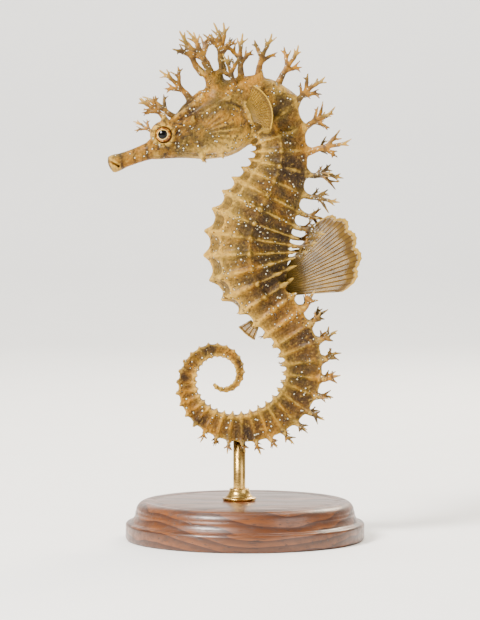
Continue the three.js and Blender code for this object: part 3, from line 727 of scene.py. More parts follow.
def frond_paint(name):
    """Skin of the fronds: like the body's at the root, then banded, and pale at the tips."""
    p = Paint(name)
    p.mottled()
    p.over(p.range(p.noise(520, 4, 0.6), 0.44, 0.62), BROWN, 0.55)
    along = p.read("along")
    wander = p.times(p.noise(600, 3), 0.16)
    phase = p.math("ADD", p.math("ADD", along, p.read("own")), wander)
    bands = p.range(p.math("SINE", p.times(phase, 24.0)), 0.2, 0.9)
    p.over(p.times(bands, p.range(along, 0.1, 0.3)), BROWN, 0.6)
    p.over(p.range(along, 0.6, 1.0), CREAM, 0.6)
    dots = p.cells(1350)
    p.over(p.range(dots, 0.34, 0.26), BROWN, 0.5)
    p.over(p.range(dots, 0.22, 0.15), WHITE, 0.6)
    grain = p.times(p.noise(2200, 4), p.range(along, 0.0, 0.6, 1.0, 0.4))
    return p.finished(
        Roughness=0.5, Normal=p.bump(grain, 0.0003, 0.9),
        Subsurface_Weight=0.04, Subsurface_Radius=(0.8, 0.7, 0.3), Subsurface_Scale=0.0008,
        Coat_Weight=0.05, Coat_Roughness=0.3, Specular_IOR_Level=0.2,
    )


def fin_paint(name):
    """Clear amber membrane on dark rays, with a dark band inside a pale margin."""
    p = Paint(name)
    ray, reach = p.read("ray"), p.read("reach")
    p.colour = p.mix(p.range(p.noise(300, 3), 0.35, 0.7), rgb(140, 104, 16), rgb(92, 68, 10))
    joints = p.range(p.math("SINE", p.times(reach, 150.0)), 0.3, 0.9, 0.0, 0.6)
    p.over(p.range(ray, 0.38, 0.78), p.mix(joints, rgb(74, 48, 12), rgb(40, 25, 8)))
    band = p.times(p.range(reach, 0.76, 0.88), p.range(reach, 0.955, 0.92))
    p.over(band, rgb(66, 44, 10), 0.7)
    margin = p.range(reach, 0.93, 0.985)
    p.over(margin, rgb(176, 138, 44))
    root = p.range(reach, 0.45, 0.05)
    p.over(root, OLIVE, 0.9)
    edge = p.times(p.math("MAXIMUM", band, margin), 0.7)
    solid = p.math("MAXIMUM", p.math("MAXIMUM", p.range(ray, 0.3, 0.7), root), edge)
    return p.finished(
        Roughness=0.45, Alpha=p.range(solid, 0, 1, 0.64, 1.0),
        Coat_Weight=0.03, Coat_Roughness=0.3, Specular_IOR_Level=0.15,
    )


def eye_paint(name):
    """A black pupil in a gold iris with dark fibres, under a wet cornea."""
    p = Paint(name)
    spread = p.read("spread")
    p.colour = p.mix(p.range(p.read("fibres"), -0.4, 0.7), rgb(120, 66, 20), rgb(228, 168, 70))
    p.over(p.range(spread, 1.3, 1.5, 0.9, 0.0), rgb(250, 214, 128))
    p.over(p.range(spread, 1.75, 2.1), rgb(52, 28, 12))
    marks = p.times(p.range(p.read("turn"), 0.75, 0.95), p.range(spread, 1.3, 1.6))
    p.over(marks, rgb(70, 34, 16), 0.6)
    p.over(p.range(p.noise(1500, 3), 0.45, 0.7), rgb(96, 50, 20), 0.4)
    iris = p.range(spread, 1.24, 1.29)
    p.colour = p.mix(iris, rgb(6, 5, 5), p.colour)
    return p.finished(
        Roughness=0.3, Metallic=p.times(iris, 0.35), Specular_IOR_Level=0.0,
        Coat_Weight=0.6, Coat_Roughness=0.02, Coat_IOR=1.36,
    )


RING_OF_WOOD = 0.0021
WOOD_HEART = (0.013, 0.034)  # how far the tree's heart lies towards -Y and below the floor


def wood_paint(name):
    """Dark polished walnut, with its grain along X."""
    p = Paint(name)
    along = p.stretched(0.08, 1, 1)
    grain = p.noise(700, 5, 0.6, along)
    squares = [
        p.math("POWER", p.math("ADD", p.node("SeparateXYZ", {0: p.place}, axis), heart), 2.0)
        for axis, heart in zip("YZ", WOOD_HEART)
    ]
    wander = p.times(p.noise(26, 3, 0.5, p.stretched(0.3, 1, 1)), 0.022)
    radius = p.math("ADD", p.math("SQRT", p.math("ADD", *squares)), wander)
    ring = p.math("FRACT", p.math("DIVIDE", radius, RING_OF_WOOD))
    late = p.range(ring, 0.1, 0.95, way="LINEAR")
    p.colour = p.mix(late, rgb(112, 62, 24), rgb(58, 28, 10))
    p.over(p.range(grain, 0.35, 0.7), rgb(54, 28, 12), 0.6)
    pores = p.range(p.noise(1900, 3, 0.6, along), 0.58, 0.68)
    p.over(pores, rgb(28, 15, 8), 0.8)
    return p.finished(
        Roughness=p.range(grain, 0.3, 0.7, 0.28, 0.45), Coat_Weight=0.15, Coat_Roughness=0.15,
        Normal=p.bump(p.times(pores, -1.0), 0.00008, 0.5),
    )


def brass_paint(name):
    """Brushed brass that has dulled a little."""
    p = Paint(name)
    p.colour = p.mix(p.range(p.noise(140, 4), 0.4, 0.75), rgb(206, 168, 92), rgb(158, 118, 62))
    brushed = p.noise(900, 2, 0.5, p.stretched(1, 1, 12))
    return p.finished(
        Metallic=1.0, Roughness=p.range(brushed, 0.3, 0.7, 0.2, 0.36),
        Normal=p.bump(brushed, 0.00002, 0.4),
    )


def paper_paint(name):
    """Plain pale paper under and behind the model."""
    p = Paint(name)
    p.colour = p.mix(p.noise(40, 3), rgb(244, 242, 237), rgb(248, 246, 242))
    return p.finished(Roughness=0.75)


# ---- building the skin
def sample(field, origin, step, points):
    """The field's value at points, straight between its grid places."""
    place = (points - origin) / step
    low = np.clip(place.astype(int), 0, np.array(field.shape) - 2)
    t = np.clip(place - low, 0, 1)
    total = np.zeros(len(points))
    for corner in np.ndindex(2, 2, 2):
        share = np.prod(np.where(corner, t, 1 - t), 1)
        total += share * field[tuple((low + corner).T)]
    return total


def simplified(points, faces, target):
    """The mesh as about target triangles, spent where the surface bends."""
    thing = new_object("draft", points, faces)
    modifier = thing.modifiers.new("simplify", "DECIMATE")
    modifier.ratio = target / (len(faces) * 2)
    ready = thing.evaluated_get(bpy.context.evaluated_depsgraph_get()).to_mesh()
    ready.calc_loop_triangles()
    kept = np.empty(len(ready.vertices) * 3, np.float32)
    ready.vertices.foreach_get("co", kept)
    triangles = np.empty(len(ready.loop_triangles) * 3, np.int32)
    ready.loop_triangles.foreach_get("vertices", triangles)
    mesh = thing.data
    bpy.data.objects.remove(thing)
    bpy.data.meshes.remove(mesh)
    return kept.reshape(-1, 3) / MM, triangles.reshape(-1, 3)


def neighbours_mean(points, faces):
    """For each point, the mean of the points that it shares an edge with."""
    total = np.zeros_like(points)
    count = np.zeros(len(points))
    following = np.roll(faces, -1, 1)
    for here, there in ((faces, following), (following, faces)):
        count += np.bincount(here.ravel(), minlength=len(points))
        for axis in range(3):
            total[:, axis] += np.bincount(here.ravel(), points[there.ravel(), axis], len(points))
    return total / count[:, None]


def normals_of(points, faces):
    corner = points[faces]
    face = np.cross(corner[:, 2] - corner[:, 0], corner[:, -1] - corner[:, 1])
    total = np.zeros_like(points)
    for axis in range(3):
        for k in range(faces.shape[1]):
            total[:, axis] += np.bincount(faces[:, k], face[:, axis], len(points))
    return total / np.linalg.norm(total, axis=1)[:, None]


def settle(points, faces, field, origin, step):
    """Evens out the mesh and puts its points back on the field's zero level."""
    for _ in range(2):
        points = lerp(points, neighbours_mean(points, faces), 0.5)
        for _ in range(2):
            value = sample(field, origin, step, points)
            slope = np.zeros_like(points)
            for axis, way in enumerate(np.eye(3) * step / 2):
                ahead = sample(field, origin, step, points + way)
                slope[:, axis] = (ahead - sample(field, origin, step, points - way)) / step
            move = np.clip(value / np.maximum((slope**2).sum(1), 0.1), -step, step)
            points = points - slope * move[:, None]
    return points


def relief_of(points, faces, normals, rounds):
    """How far each point stands out of its surroundings."""
    smooth = points
    for _ in range(rounds):
        smooth = lerp(smooth, neighbours_mean(smooth, faces), 0.8)
    return ((points - smooth) * normals).sum(1)


def granules(points):
    """Fine grains of the skin, as heights in millimetres."""
    heights = np.empty(len(points))
    for i, at in enumerate(map(Vector, points)):
        nearest = noise.voronoi(at * 1.15)[0][0]
        heights[i] = 0.06 * noise.noise(at * 1.3) + 0.09 * max(0.0, 1 - nearest / 0.42)
    return heights


SADDLES = (1.5, 5.5, 9.8, 14.0, 18.5, 23.0, 27.5, 32.0, 36.5, 41.0, 45.5)
EYE_RAYS = 9
# The OFBake map is a square of so many millimetres, with three sheets at (along, across).
MAP_SIZE = 114
HEAD_SHEET, TRUNK_SHEET, TAIL_SHEET = (72, 76), (12, 76), (3, 22)


class SkinPlaces:
    """Where the skin's points lie on the animal."""

    def __init__(self, points):
        self.head = to_head(points)
        self.side = np.abs(points[:, 1])
        self.s, self.out, past = nearest_on_axis(points[:, 0], points[:, 2])
        self.ring = ring_of_place(self.s)
        x, _, z = self.head.T
        body = body_distance(self.s, self.side, self.out, past)
        gap = body - head_distance(x, self.side, z)
        self.head_share = smoothstep(gap, -1.5, 1.5) * (x > SKULL_REAR - 3)

    def marks(self):
        """Markings as shares from 0 to 1: pale belly, dark saddles, dark streaks and joints."""
        x, _, z = self.head.T
        height = self.out / half_depth_at(self.s)
        body = 1 - self.head_share
        belly = body * smoothstep(-height, 0.1, 0.75) * lerp(1, 0.6, smoothstep(self.ring, 10, 14))
        belly += self.head_share * smoothstep(-z, 2.0, 7.0) * smoothstep(24 - x, 0, 6)
        saddle = sum(bell(self.ring, place, 0.9) for place in SADDLES)
        saddle = saddle * body * smoothstep(height, -0.5, 0.3)
        saddle += self.head_share * bell(x, 12.6, 2.2) * smoothstep(z, 1, 6)
        from_eye, turn = round_eye(x, z)
        ray = np.cos(EYE_RAYS * turn + 1.3 * np.sin(2.1 * from_eye))
        streak = smoothstep(ray, 0.3, 0.85) * smoothstep(from_eye, 2.1, 2.35)
        streak = streak * (1 - smoothstep(from_eye, 5, 10)) * (x < 25)
        bands = smoothstep(np.cos(2 * math.pi * (x - 27.6) / 3.5 + 0.5 * np.sin(z)), 0.5, 0.95)
        streak = np.maximum(streak, bands * (x > 26)) * self.head_share
        off = np.abs(off_middle(self.ring))
        joint = body * (self.ring > 0.2) * smoothstep(off, 0.41, 0.48)
        return {"belly": belly, "saddle": saddle, "streak": streak, "joint": joint}

    def unwrapped(self, points, faces):
        """The OFBake map: trunk, tail and head each as a sheet opened along its underside."""
        x, y, z = self.head.T
        middle, tall, wide = skull_section(x)
        middle = np.where(x > SNOUT_ROOT, -0.1, middle)
        radius = np.where(x > SNOUT_ROOT, 2.3, (tall + (wide + 1)) / 2)
        on_head = self.head_share[faces].mean(1) > 0.5
        on_tail = ~on_head & (self.ring[faces].mean(1) > TRUNK_RINGS)
        head_turn = np.arctan2(-y, z - middle)
        body_turn = np.arctan2(points[:, 1], self.out)
        turn = np.where(on_head[:, None], head_turn[faces], body_turn[faces])
        wraps = np.ptp(turn, axis=1) > math.pi
        turn = np.where(wraps[:, None] & (turn < 0), turn + 2 * math.pi, turn)
        girth = (half_width_at(self.s) + half_depth_at(self.s)) / 2
        reach = np.where(on_head[:, None], radius[faces], girth[faces])
        on_trunk = self.s[faces] + TRUNK_SHEET[0]
        along = np.where(on_head[:, None], x[faces] + HEAD_SHEET[0], on_trunk)
        on_tail_sheet = self.s[faces] - TRUNK_LENGTH + TAIL_SHEET[0]
        along = np.where(on_tail[:, None], on_tail_sheet, along)
        across = turn * reach + np.where(on_tail, TAIL_SHEET[1], TRUNK_SHEET[1])[:, None]
        return np.stack([along, across], -1) / MAP_SIZE


FLESH = (  # the solids that the one skin replaces
    "head", "snout", "coronet", "neck", "trunk_upper", "trunk_lower", "tail_base",
    "tail_outer_bend", "tail_underside", "tail_rise", "tail_arch", "tail_inner_turn", "tail_tip",
)


def build_skin(paint):
    field, origin = skin_field()
    points, faces = surface_net(field, origin, SKIN_STEP)
    points = settle(points, faces, field, origin, SKIN_STEP)
    points, faces = simplified(points, faces, SKIN_FACES)
    normals = normals_of(points, faces)
    from_eye = np.linalg.norm(np.abs(to_head(points)) - np.abs(EYE_AT), axis=1)
    grain = granules(points) * smoothstep(from_eye, 2.6, 4.0)
    points = points + normals * grain[:, None]
    places = SkinPlaces(points)
    skin = make_piece("skin", points, faces, paint, "skin", *FLESH)
    add_uv(skin, places.unwrapped(points, faces))
    for name, values in places.marks().items():
        add_attribute(skin, name, values)
    # These two relief shares drive the skin's painted shade in hollows and painted highlight on
    # crests.
    add_attribute(skin, "small_relief_shading", relief_of(points, faces, normals, 12))
    add_attribute(skin, "large_relief_shading", relief_of(points, faces, normals, 50))


# ---- skin fronds
FROND_FLATNESS = 0.6
FROND_ROOT = 0.9  # how deep a frond's foot is sunk into the skin
# A frond of length 1 as limbs, each a line of (across, along, radius).
FROND_LIMBS = [
    [(0, 0, 0.088), (-0.015, 0.2, 0.066), (0, 0.4, 0.058), (0.035, 0.7, 0.042), (0.04, 1, 0.019)],
    [(0, 0.32, 0.05), (0.14, 0.47, 0.042), (0.3, 0.61, 0.019)],
    [(0, 0.42, 0.05), (-0.13, 0.59, 0.042), (-0.29, 0.78, 0.019)],
]
FROND_FINGERS = [
    [(0.13, 0.46, 0.034), (0.16, 0.68, 0.018)], [(-0.12, 0.58, 0.035), (-0.1, 0.8, 0.018)],
    [(-0.19, 0.66, 0.032), (-0.31, 0.65, 0.018)], [(0.035, 0.66, 0.032), (-0.07, 0.88, 0.018)],
    [(0.035, 0.76, 0.03), (0.13, 0.9, 0.018)], [(0.2, 0.52, 0.03), (0.31, 0.5, 0.018)],
]
TAG_LIMBS = [
    [(0, 0, 0.13), (0, 0.5, 0.08), (0.06, 1, 0.03)], [(0, 0.42, 0.065), (-0.2, 0.78, 0.03)],
]


def frond_shapes(count, limbs, fingers, step, stout=1.0):
    """Several flat branching fronds of length 1, bent from one side to the other: for each,
    points as (across, through, along), and faces. fingers is each finger's chance."""
    return [frond_shape(limbs, fingers, sway, step, stout) for sway in np.linspace(-1, 1, count)]


def frond_shape(limbs, fingers, sway, step, stout):
    limbs = list(limbs)
    for root, tip in FROND_FINGERS:
        if rng.random() < fingers:
            limbs.append([root, (*(np.array(tip[:2]) + rng.normal(0, 0.02, 2)), tip[2])])
    low, high = (-0.4, -0.2, -0.2), (0.4, 0.2, 1.1)
    grid = np.meshgrid(*(np.arange(a, b, step) for a, b in zip(low, high)), indexing="ij")
    distance = np.full(grid[0].shape, FAR)
    for limb in limbs:
        for (x, z, wide), (end_x, end_z, narrow) in zip(limb, limb[1:]):
            part = spike(*grid, (x, 0, z), (end_x, 0, end_z), wide * stout, narrow * stout)
            distance = blend_min(distance, part, 0.03)
    points, faces = surface_net(distance, low, step)
    points = lerp(points, neighbours_mean(points, faces), 0.5) * (1, FROND_FLATNESS, 1)
    bent = np.maximum(points[:, 2], 0)
    points[:, 0] += 0.14 * sway * bent**2 + 0.03 * np.sin(7 * bent + 4 * sway) * bent
    points[:, 1] += sway * bent**2 * 0.16 + 0.02 * np.sin(9 * points[:, 0] + 5 * sway)
    return points, faces


def frond_place(foot, direction, lean, length):
    """Foot, axes (across, through, along) and length of one frond."""
    up = unit(direction)
    across = unit(np.asarray(lean) - up * np.dot(lean, up))
    return np.asarray(foot) - up * FROND_ROOT, np.array([across, np.cross(up, across), up]), length


def head_fronds():
    """Fronds of the skull in the head's frame: (foot, direction, length)."""
    rows = [  # from the nose to the nape
        ((24.2, 0, 4), (0.75, 0, 1), 7), ((18, 0, 6.2), (0.65, 0, 1), 10.4),
        ((12.6, 0, 9.2), (0.4, 0, 1), 11.4), ((-2, 0, 10.2), (-0.3, 0, 1), 11.6),
        ((-6.4, 0, 9), (-0.6, 0, 1), 11.6), ((-11, 0, 5.4), (-1, 0, 0.75), 11.2),
    ]
    for side in SIDES.values():
        rows += [  # over the eye, behind the coronet and under the cheek
            ((20.6, 3.9 * side, 6.6), (0.4, 0.35 * side, 1), 9.2),
            ((0.6, 2.6 * side, 8.4), (-0.1, 0.3 * side, 1), 9.6),
            ((14.4, 4.2 * side, -6.6), (0.2, 0.5 * side, -1), 2.6),
        ]
    for i in range(CORONET_POINTS):
        turn = 2 * math.pi * i / CORONET_POINTS
        foot = coronet_point(turn, 3.3, 5.4)
        rows.append((foot, (0.3 * math.cos(turn), 0.3 * math.sin(turn), 1), 12))
    forwards = np.array([1, 0, 0.1]) @ HEAD_BASIS
    return [
        frond_place(from_head(foot), np.array(way) @ HEAD_BASIS, forwards, length)
        for foot, way, length in rows
    ]


def ridge_frond(ring, corner, side, way_out, length, knob=0.6, lean=0.2):
    """A frond on a ridge's knob at a ring's middle; way_out is its slant to the side."""
    s = place_of_ring(ring + 0.5)
    a, b = corner_at(corner, ring + 0.5, s)
    size = math.hypot(a, b)
    raised = 1 + knob * knob_height(corner, ring + 0.5) / size
    foot = body_point(s, side * a * raised, b * raised)
    centre = body_point(s, 0, 0)
    headwards = body_point(s - 1, 0, 0) - centre
    outwards = body_point(s, way_out[0] * side, way_out[1]) - centre + lean * headwards
    return frond_place(foot, outwards, headwards, length)


MANE_END, TAG_END = 27, 18  # the rings of the tail where the mane and the skin tags end


def mane_length(ring):
    if ring < TRUNK_RINGS:
        return 11.2 - 0.75 * max(ring, 0)
    return 6.4 - 2.8 * smoothstep(ring, TRUNK_RINGS, MANE_END - 1)


def body_fronds(rings):
    """The mane on some of the back's rings: on each a long frond and a shorter one."""
    fronds = []
    for ring in rings:
        if FIN_RINGS[0] < ring + 0.5 < FIN_RINGS[1]:
            continue
        corner = SUPERIOR_TRUNK if ring + 0.5 < FIN_RINGS[0] else SUPERIOR_TAIL
        side = -1 if ring % 2 == 0 else 1  # the long one is left and right by turns
        knob = 0 if ring < 0 else 0.6
        length = mane_length(ring)
        fronds.append(ridge_frond(ring, corner, side, (0.35, 1), length, knob))
        if not 5 <= ring <= 8:  # where the back bends in, the rings crowd together
            other = length * rng.uniform(0.65, 0.85)
            fronds.append(ridge_frond(ring, corner, -side, (0.5, 1), other, knob, 0.4))
    return fronds


def skin_tags():
    """Short tags of skin on some knobs of the ridges along the sides and the belly's edges."""
    tags = []
    for ring in range(1, TAG_END):
        size = 2.4 * (1 - 0.3 * smoothstep(ring, TRUNK_RINGS, TAG_END))
        for side in SIDES.values():
            for corner, way_out in ((LATERAL, (1, 0.1)), (INFERIOR, (0.9, -0.6))):
                if corner == LATERAL and ring > 10:
                    continue
                if rng.random() < (0.8 if ring % 3 == 0 else 0.25):
                    length = size * rng.uniform(0.8, 1.2)
                    lean = rng.uniform(-0.2, 0.6)
                    tags.append(ridge_frond(ring, corner, side, way_out, length, 1.1, lean))
    return tags


# A frond's cell of the OFBake map has its two faces side by side, in lengths of the frond.
CELL_LEFT, CELL_WIDTH, CELL_BELOW, CELL_HEIGHT = 0.42, 1.72, 0.18, 1.28


def build_fronds(name, fronds, kinds, paint):
    """Many fronds as one piece, each with its own cell in the OFBake map."""
    points, faces, corners, along, own = [], [], [], [], []
    first = 0
    columns = math.ceil(math.sqrt(len(fronds) / 1.5))
    rows = math.ceil(len(fronds) / columns)
    for i, (root, axes, length) in enumerate(fronds):
        shape, cells = kinds[rng.integers(len(kinds))]
        if rng.random() < 0.5:  # mirrored
            shape, cells = shape * (-1, 1, 1), cells[:, ::-1]
        points.append(root + length * (shape @ axes))
        faces.append(cells + first)
        first += len(shape)
        along.append(shape[:, 2])
        own.append(np.full(len(shape), rng.random()))
        corner = shape[cells]
        turned = np.cross(corner[:, 2] - corner[:, 0], corner[:, 3] - corner[:, 1])[:, 1] < 0
        u = (corner[..., 0] + CELL_LEFT) / CELL_WIDTH + 0.5 * turned[:, None]
        v = (corner[..., 2] + CELL_BELOW) / CELL_HEIGHT
        corners.append(np.stack([(i % columns + u) / columns, (i // columns + v) / rows], -1))
    piece = make_piece(name, np.vstack(points), np.vstack(faces), paint, "skin")
    add_uv(piece, np.vstack(corners))
    add_attribute(piece, "along", np.concatenate(along))
    add_attribute(piece, "own", np.concatenate(own))


# ---- fins
def build_fin(name, edge, face, rays, paint, steps, thickness=0.26, parts=8):
    """A closed thin sheet with raised rays. edge(t, reach) places its middle layer, and face is
    the way across it. It has so many steps from root to margin and parts to a ray."""
    t, reach = np.meshgrid(np.linspace(0, 1, rays * parts + 1), np.linspace(0, 1, steps + 1))
    ray = (1 - np.abs(np.cos(math.pi * t * rays))) ** 1.3
    notch = 1 - 0.014 * (1 - ray) * smoothstep(reach, 0.8, 1)
    middle = edge(t, lerp(-0.06, 1, reach) * notch)
    half = thickness * lerp(0.32, 1, ray) * lerp(1, 0.3, reach) / 2
    half[-1] = 0.02
    layers = [middle + face * half[..., None], middle - face * half[..., None]]
    wide = rays * parts + 1
    number = np.arange(2 * (steps + 1) * wide).reshape(2, steps + 1, wide)

    def quads(grid):
        cells = [grid[:-1, :-1], grid[:-1, 1:], grid[1:, 1:], grid[1:, :-1]]
        return np.stack([c.ravel() for c in cells], 1)

    front, back = number
    rim = np.concatenate([front[0, :-1], front[:-1, -1], front[-1, :0:-1], front[:0:-1, 0]])
    rim = np.stack([rim, rim + back[0, 0]])
    rim = np.concatenate([rim, rim[:, :1]], 1)
    faces = np.vstack([quads(front), quads(back)[:, ::-1], quads(rim)[:, ::-1]])
    points = np.concatenate([layer.reshape(-1, 3) for layer in layers])
    centre = points.mean(0)
    corner = points[faces]
    volume = (np.cross(corner[:, 2] - corner[:, 0], corner[:, 3] - corner[:, 1])
              * (corner.mean(1) - centre)).sum()
    if volume < 0:
        faces = faces[:, ::-1]
    piece = make_piece(name, points, faces, paint, "fin", name.removesuffix("_rays"))
    flat = [np.stack([0.02 + 0.94 * t, 0.46 * reach + shift], -1) for shift in (0.02, 0.52)]
    add_uv(piece, np.concatenate(flat).reshape(-1, 2)[faces])
    for attribute, values in (("ray", ray), ("reach", reach)):
        add_attribute(piece, attribute, np.concatenate([values.ravel()] * 2))


DORSAL_HEIGHT = 19.5
DORSAL_SPREAD = 34  # degrees that the outer rays lean from the middle ones
DORSAL_LOBES = 5


def dorsal_edge(t, reach):
    """The dorsal fin's middle layer: t goes down the back and reach from root to margin."""
    ring = lerp(FIN_RINGS[0] + 0.15, FIN_RINGS[1] - 0.15, t)
    s = place_of_ring(ring)
    turned = axis_at(s)[2] - np.radians(lerp(DORSAL_SPREAD, -DORSAL_SPREAD, t))
    _, top = corner_at(0, ring, s)
    lobes = 1 + 0.06 * np.abs(np.sin(DORSAL_LOBES * math.pi * t))
    height = DORSAL_HEIGHT * (1 - 0.34 * np.abs(2 * t - 1) ** 3) * lobes
    wave = 0.9 * reach * np.abs(reach) * np.sin(2 * math.pi * (1.4 * t + 0.25 * reach))
    way = xyz(np.cos(turned), 0, -np.sin(turned))
    return body_point(s, 0, top) + way * (height * reach)[..., None] + xyz(0, wave, 0)


def pectoral_edge(side):
    """The middle layer of one side's pectoral fin, behind the gill cover."""
    def edge(t, reach):
        foot = xyz(-0.6, side * 5.7, lerp(2.6, -2.2, t))
        turn = np.radians(lerp(48, -44, t))
        way = xyz(-np.cos(turn), 0.5 * side, np.sin(turn))
        way = way / np.linalg.norm(way, axis=-1)[..., None]
        length = 0.4 + 6.2 * (0.85 + 0.15 * np.sin(math.pi * t)) * reach
        ripple = 0.25 * reach**2 * np.sin(7 * t + 2 * reach) * side
        return from_head(foot + way * length[..., None] + xyz(0, ripple, 0))

    return edge


def anal_edge(t, reach):
    """The middle layer of the anal fin, under the start of the tail."""
    s = place_of_ring(lerp(11.15, 11.75, t))
    turned = axis_at(s)[2] - np.radians(lerp(-8, 34, t))
    foot = body_point(s, 0, -half_depth_at(s) * 0.84)
    return foot + xyz(-np.cos(turned), 0, np.sin(turned)) * (0.3 + 3.6 * reach)[..., None]


def build_fins(paint):
    sideways = np.array([0.0, 1, 0])
    build_fin("dorsal_fin_rays", dorsal_edge, sideways, 20, paint, steps=36, thickness=0.5)
    for name, side in SIDES.items():
        face = unit([0.5 * side, 1, 0]) @ HEAD_BASIS
        edge = pectoral_edge(side)
        build_fin(f"pectoral_fin_{name}_rays", edge, face, 16, paint, steps=16, parts=6)
    build_fin("anal_fin_rays", anal_edge, sideways, 4, paint, steps=14)


# ---- round pieces
def lathe(profile, turns):
    """Points and faces of a profile of (radius, height) turned round +Z, closed at both ends.
    The first and last points lie on the axis."""
    profile = np.array(profile, float)
    angle = np.arange(turns) * 2 * math.pi / turns
    radius, height = profile[1:-1].T
    radius, height = radius[:, None], height[:, None]
    ring = xyz(radius * np.cos(angle), radius * np.sin(angle), height).reshape(-1, 3)
    points = np.vstack([ring, (0, 0, profile[0, 1]), (0, 0, profile[-1, 1])])
    rows = len(radius)
    number = np.arange(rows * turns).reshape(rows, turns)
    following = np.roll(number, -1, 1)
    sides = np.stack([number[:-1], following[:-1], following[1:], number[1:]], -1).reshape(-1, 4)
    bottom = [(following[0, i], number[0, i], rows * turns) for i in range(turns)]
    top = [(number[-1, i], following[-1, i], rows * turns + 1) for i in range(turns)]
    return points, sides.tolist() + bottom + top


def turned_piece(name, profile, turns, paint, slot, node, place=lambda points: points):
    points, faces = lathe(profile, turns)
    return make_piece(name, place(points), faces, paint, slot, node)


def arc(centre, radius, start, end, steps):
    """Points of an arc of a profile, angles in degrees from the outward direction."""
    turn = np.radians(np.linspace(start, end, steps + 1))
    return [(centre[0] + radius * math.cos(a), centre[1] + radius * math.sin(a)) for a in turn]


CORNEA_RISE, CORNEA_RADIUS = 0.16, 1.3
EYE_TURNS = 96


def build_eyes(paint):
    """Eyeballs with a slightly bulging cornea. The iris is painted by the distance from the
    pupil's centre."""
    angle = np.radians(np.linspace(180, 0, 61))
    radius, height = EYE_RADIUS * np.sin(angle), EYE_RADIUS * np.cos(angle)
    bulge = CORNEA_RISE * bell(radius, 0, CORNEA_RADIUS) * (height > 0)
    profile = np.stack([radius, height + bulge], 1)
    local, _ = lathe(profile, EYE_TURNS)
    turn = np.arctan2(local[:, 1], local[:, 0])
    spread = np.hypot(local[:, 0], local[:, 1] * 1.08)
    spread = np.where(local[:, 2] > 0, spread, EYE_RADIUS)
    fibres = sum(np.cos(k * turn + 1.7 * k) / k**0.3 for k in (7, 11, 17, 26, 37)) / 3
    for name, side in SIDES.items():
        out = unit([0.1, side, 0.06])
        front = unit(np.cross(out, [0, 0, 1]))
        axes = np.array([front, np.cross(out, front), out])

        def place(points):
            return from_head(EYE_AT * (1, side, 1) + points @ axes)

        ball, node = f"eye_{name}_ball", "eye_" + name
        eye = turned_piece(ball, profile, EYE_TURNS, paint, "eye", node, place)
        add_attribute(eye, "spread", spread)
        add_attribute(eye, "fibres", fibres)
        add_attribute(eye, "turn", np.cos(3 * turn + 0.6) * 0.5 + 0.5)


def build_stand(wood, brass):
    """A turned wooden base, a brass rod and the collar at its foot, from their profiles."""
    base = [(0, 0), (29, 0), (30.6, 0.0)]
    base += arc((30.2, 0.8), 0.8, -90, 0, 6) + arc((30.2, 3.8), 0.8, 0, 90, 6)
    base += [(29.6, 4.7), (29.3, 5.0)] + arc((31.4, 7.1), 2.9, 220, 180, 8)
    base += arc((25.7, 7.4), 2.6, 0, 90, 12) + [(24.4, 9.8), (24.0, 9.7), (23.4, 9.7)]
    base += [(23.0, 9.8), (22.0, 10.0), (12, 10.0), (0, 10.0)]
    turned_piece("stand_base_turned", base, 160, wood, "wood", "stand_base")
    x, z = axis_xz[axis_xz[:, 1].argmin()]  # the tail's lowest place, which the rod holds

    def moved(points):
        return points + np.array([x, 0, 0])

    rod = [(0, 4.0), (1.5, 4.0), (1.6, 4.1), (1.6, z - 0.5), (0, z - 0.4)]
    turned_piece("stand_rod_round", rod, 48, brass, "brass", "stand_rod", moved)
    collar = [(0, 9.9), (4.2, 9.9)] + arc((4.15, 10.55), 0.25, -90, 90, 8)
    collar += [(3.6, 10.9), (3.5, 11.1)] + arc((4.6, 12.9), 2.0, 225, 180, 8)
    collar += arc((2.3, 12.9), 0.3, 15, 90, 5) + [(1.9, 13.1), (0, 13.1)]
    turned_piece("stand_collar_round", collar, 64, brass, "brass", "stand_collar", moved)


# ---- the set
def aimed(name, data, place, target):
    """A lamp or camera at a place, turned towards its target."""
    thing = bpy.data.objects.new(name, data)
    thing.location = place
    thing.rotation_euler = (target - thing.location).to_track_quat("-Z", "Y").to_euler()
    bpy.context.scene.collection.objects.link(thing)
    return thing


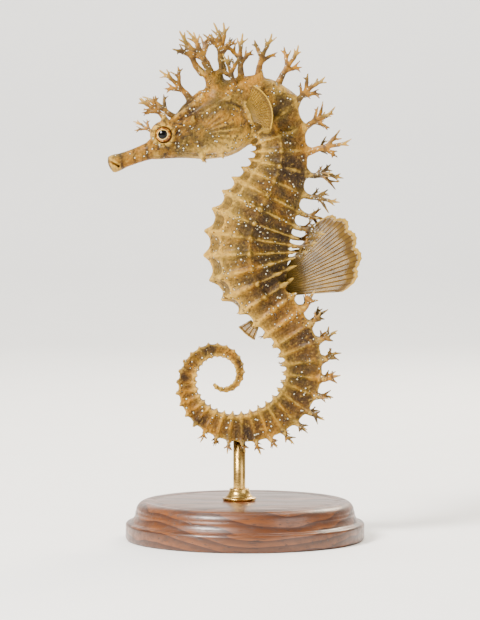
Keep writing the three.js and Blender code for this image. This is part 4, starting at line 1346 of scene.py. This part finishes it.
def build_set():
    """A pale sweep of paper, soft daylight and four lamps."""
    rows = [(-3, 0), (0.9, 0), (1.1, 0.03), (1.25, 0.12), (1.32, 0.3), (1.34, 0.6), (1.34, 3)]
    points = [(x, y, z) for y, z in rows for x in (-4, 4)]
    faces = [(2 * i, 2 * i + 1, 2 * i + 3, 2 * i + 2) for i in range(len(rows) - 1)]
    floor = new_object("floor", points, faces, 1)
    floor.data.materials.append(paper_paint("floor_paper"))

    world = bpy.data.worlds.new("studio")
    world.use_nodes = True
    sky = world.node_tree.nodes["Background"].inputs
    sky["Color"].default_value = (1, 0.985, 0.96, 1)
    sky["Strength"].default_value = 0.42
    bpy.context.scene.world = world
    middle, wall = (0, 0, 0.07), (0, 1.2, 0.35)
    lamps = [  # name, place, what it is aimed at, width, watts, colour
        ("key", (-0.5, -0.5, 0.6), middle, 0.26, 26, (1, 0.98, 0.95)),
        ("fill", (0.6, -0.5, 0.25), middle, 0.5, 3, (1, 0.98, 0.95)),
        ("rim", (0.4, 0.55, 0.55), middle, 0.3, 8, (1, 0.88, 0.7)),
        ("wall", (0, 0.35, 1.1), wall, 0.8, 19, (1, 1, 1)),
    ]
    for name, place, target, width, watts, colour in lamps:
        lamp = bpy.data.lights.new(name, "AREA")
        lamp.size, lamp.energy, lamp.color = width, watts, colour
        aimed(name, lamp, Vector(place), Vector(target))


def build_camera():
    """Straight at the animal's left side from slightly above, as far as keeps it flat."""
    distance, elevation = 0.75, math.radians(2.5)
    target = Vector((-1.3, 0, 59.5)) * MM
    seen = 160.6 * MM  # height of the frame at the animal
    camera = bpy.data.cameras.new("camera")
    camera.sensor_width = 36
    camera.lens = 36 * distance / seen
    place = target + distance * Vector((0, -math.cos(elevation), math.sin(elevation)))
    bpy.context.scene.camera = aimed("camera", camera, place, target)


# ---- everything
build_camera()
build_set()
build_skin(skin_paint("seahorse_skin"))
long_fronds = frond_shapes(8, FROND_LIMBS, 0.8, 0.02)
mane_fronds = frond_shapes(8, FROND_LIMBS, 0.7, 0.023)
tail_fronds = frond_shapes(6, FROND_LIMBS, 0.3, 0.035, 1.6)
tags = frond_shapes(4, TAG_LIMBS, 0.0, 0.045)
frond_colours = frond_paint("frond_skin")
build_fronds("head_fronds", head_fronds(), long_fronds, frond_colours)
build_fronds("mane", body_fronds(range(NAPE_RINGS, TRUNK_RINGS)), mane_fronds, frond_colours)
build_fronds("tail_mane", body_fronds(range(TRUNK_RINGS, MANE_END)), tail_fronds, frond_colours)
build_fronds("skin_tags", skin_tags(), tags, frond_colours)
build_fins(fin_paint("fin_membrane"))
build_eyes(eye_paint("eye"))
build_stand(wood_paint("stand_wood"), brass_paint("stand_brass"))
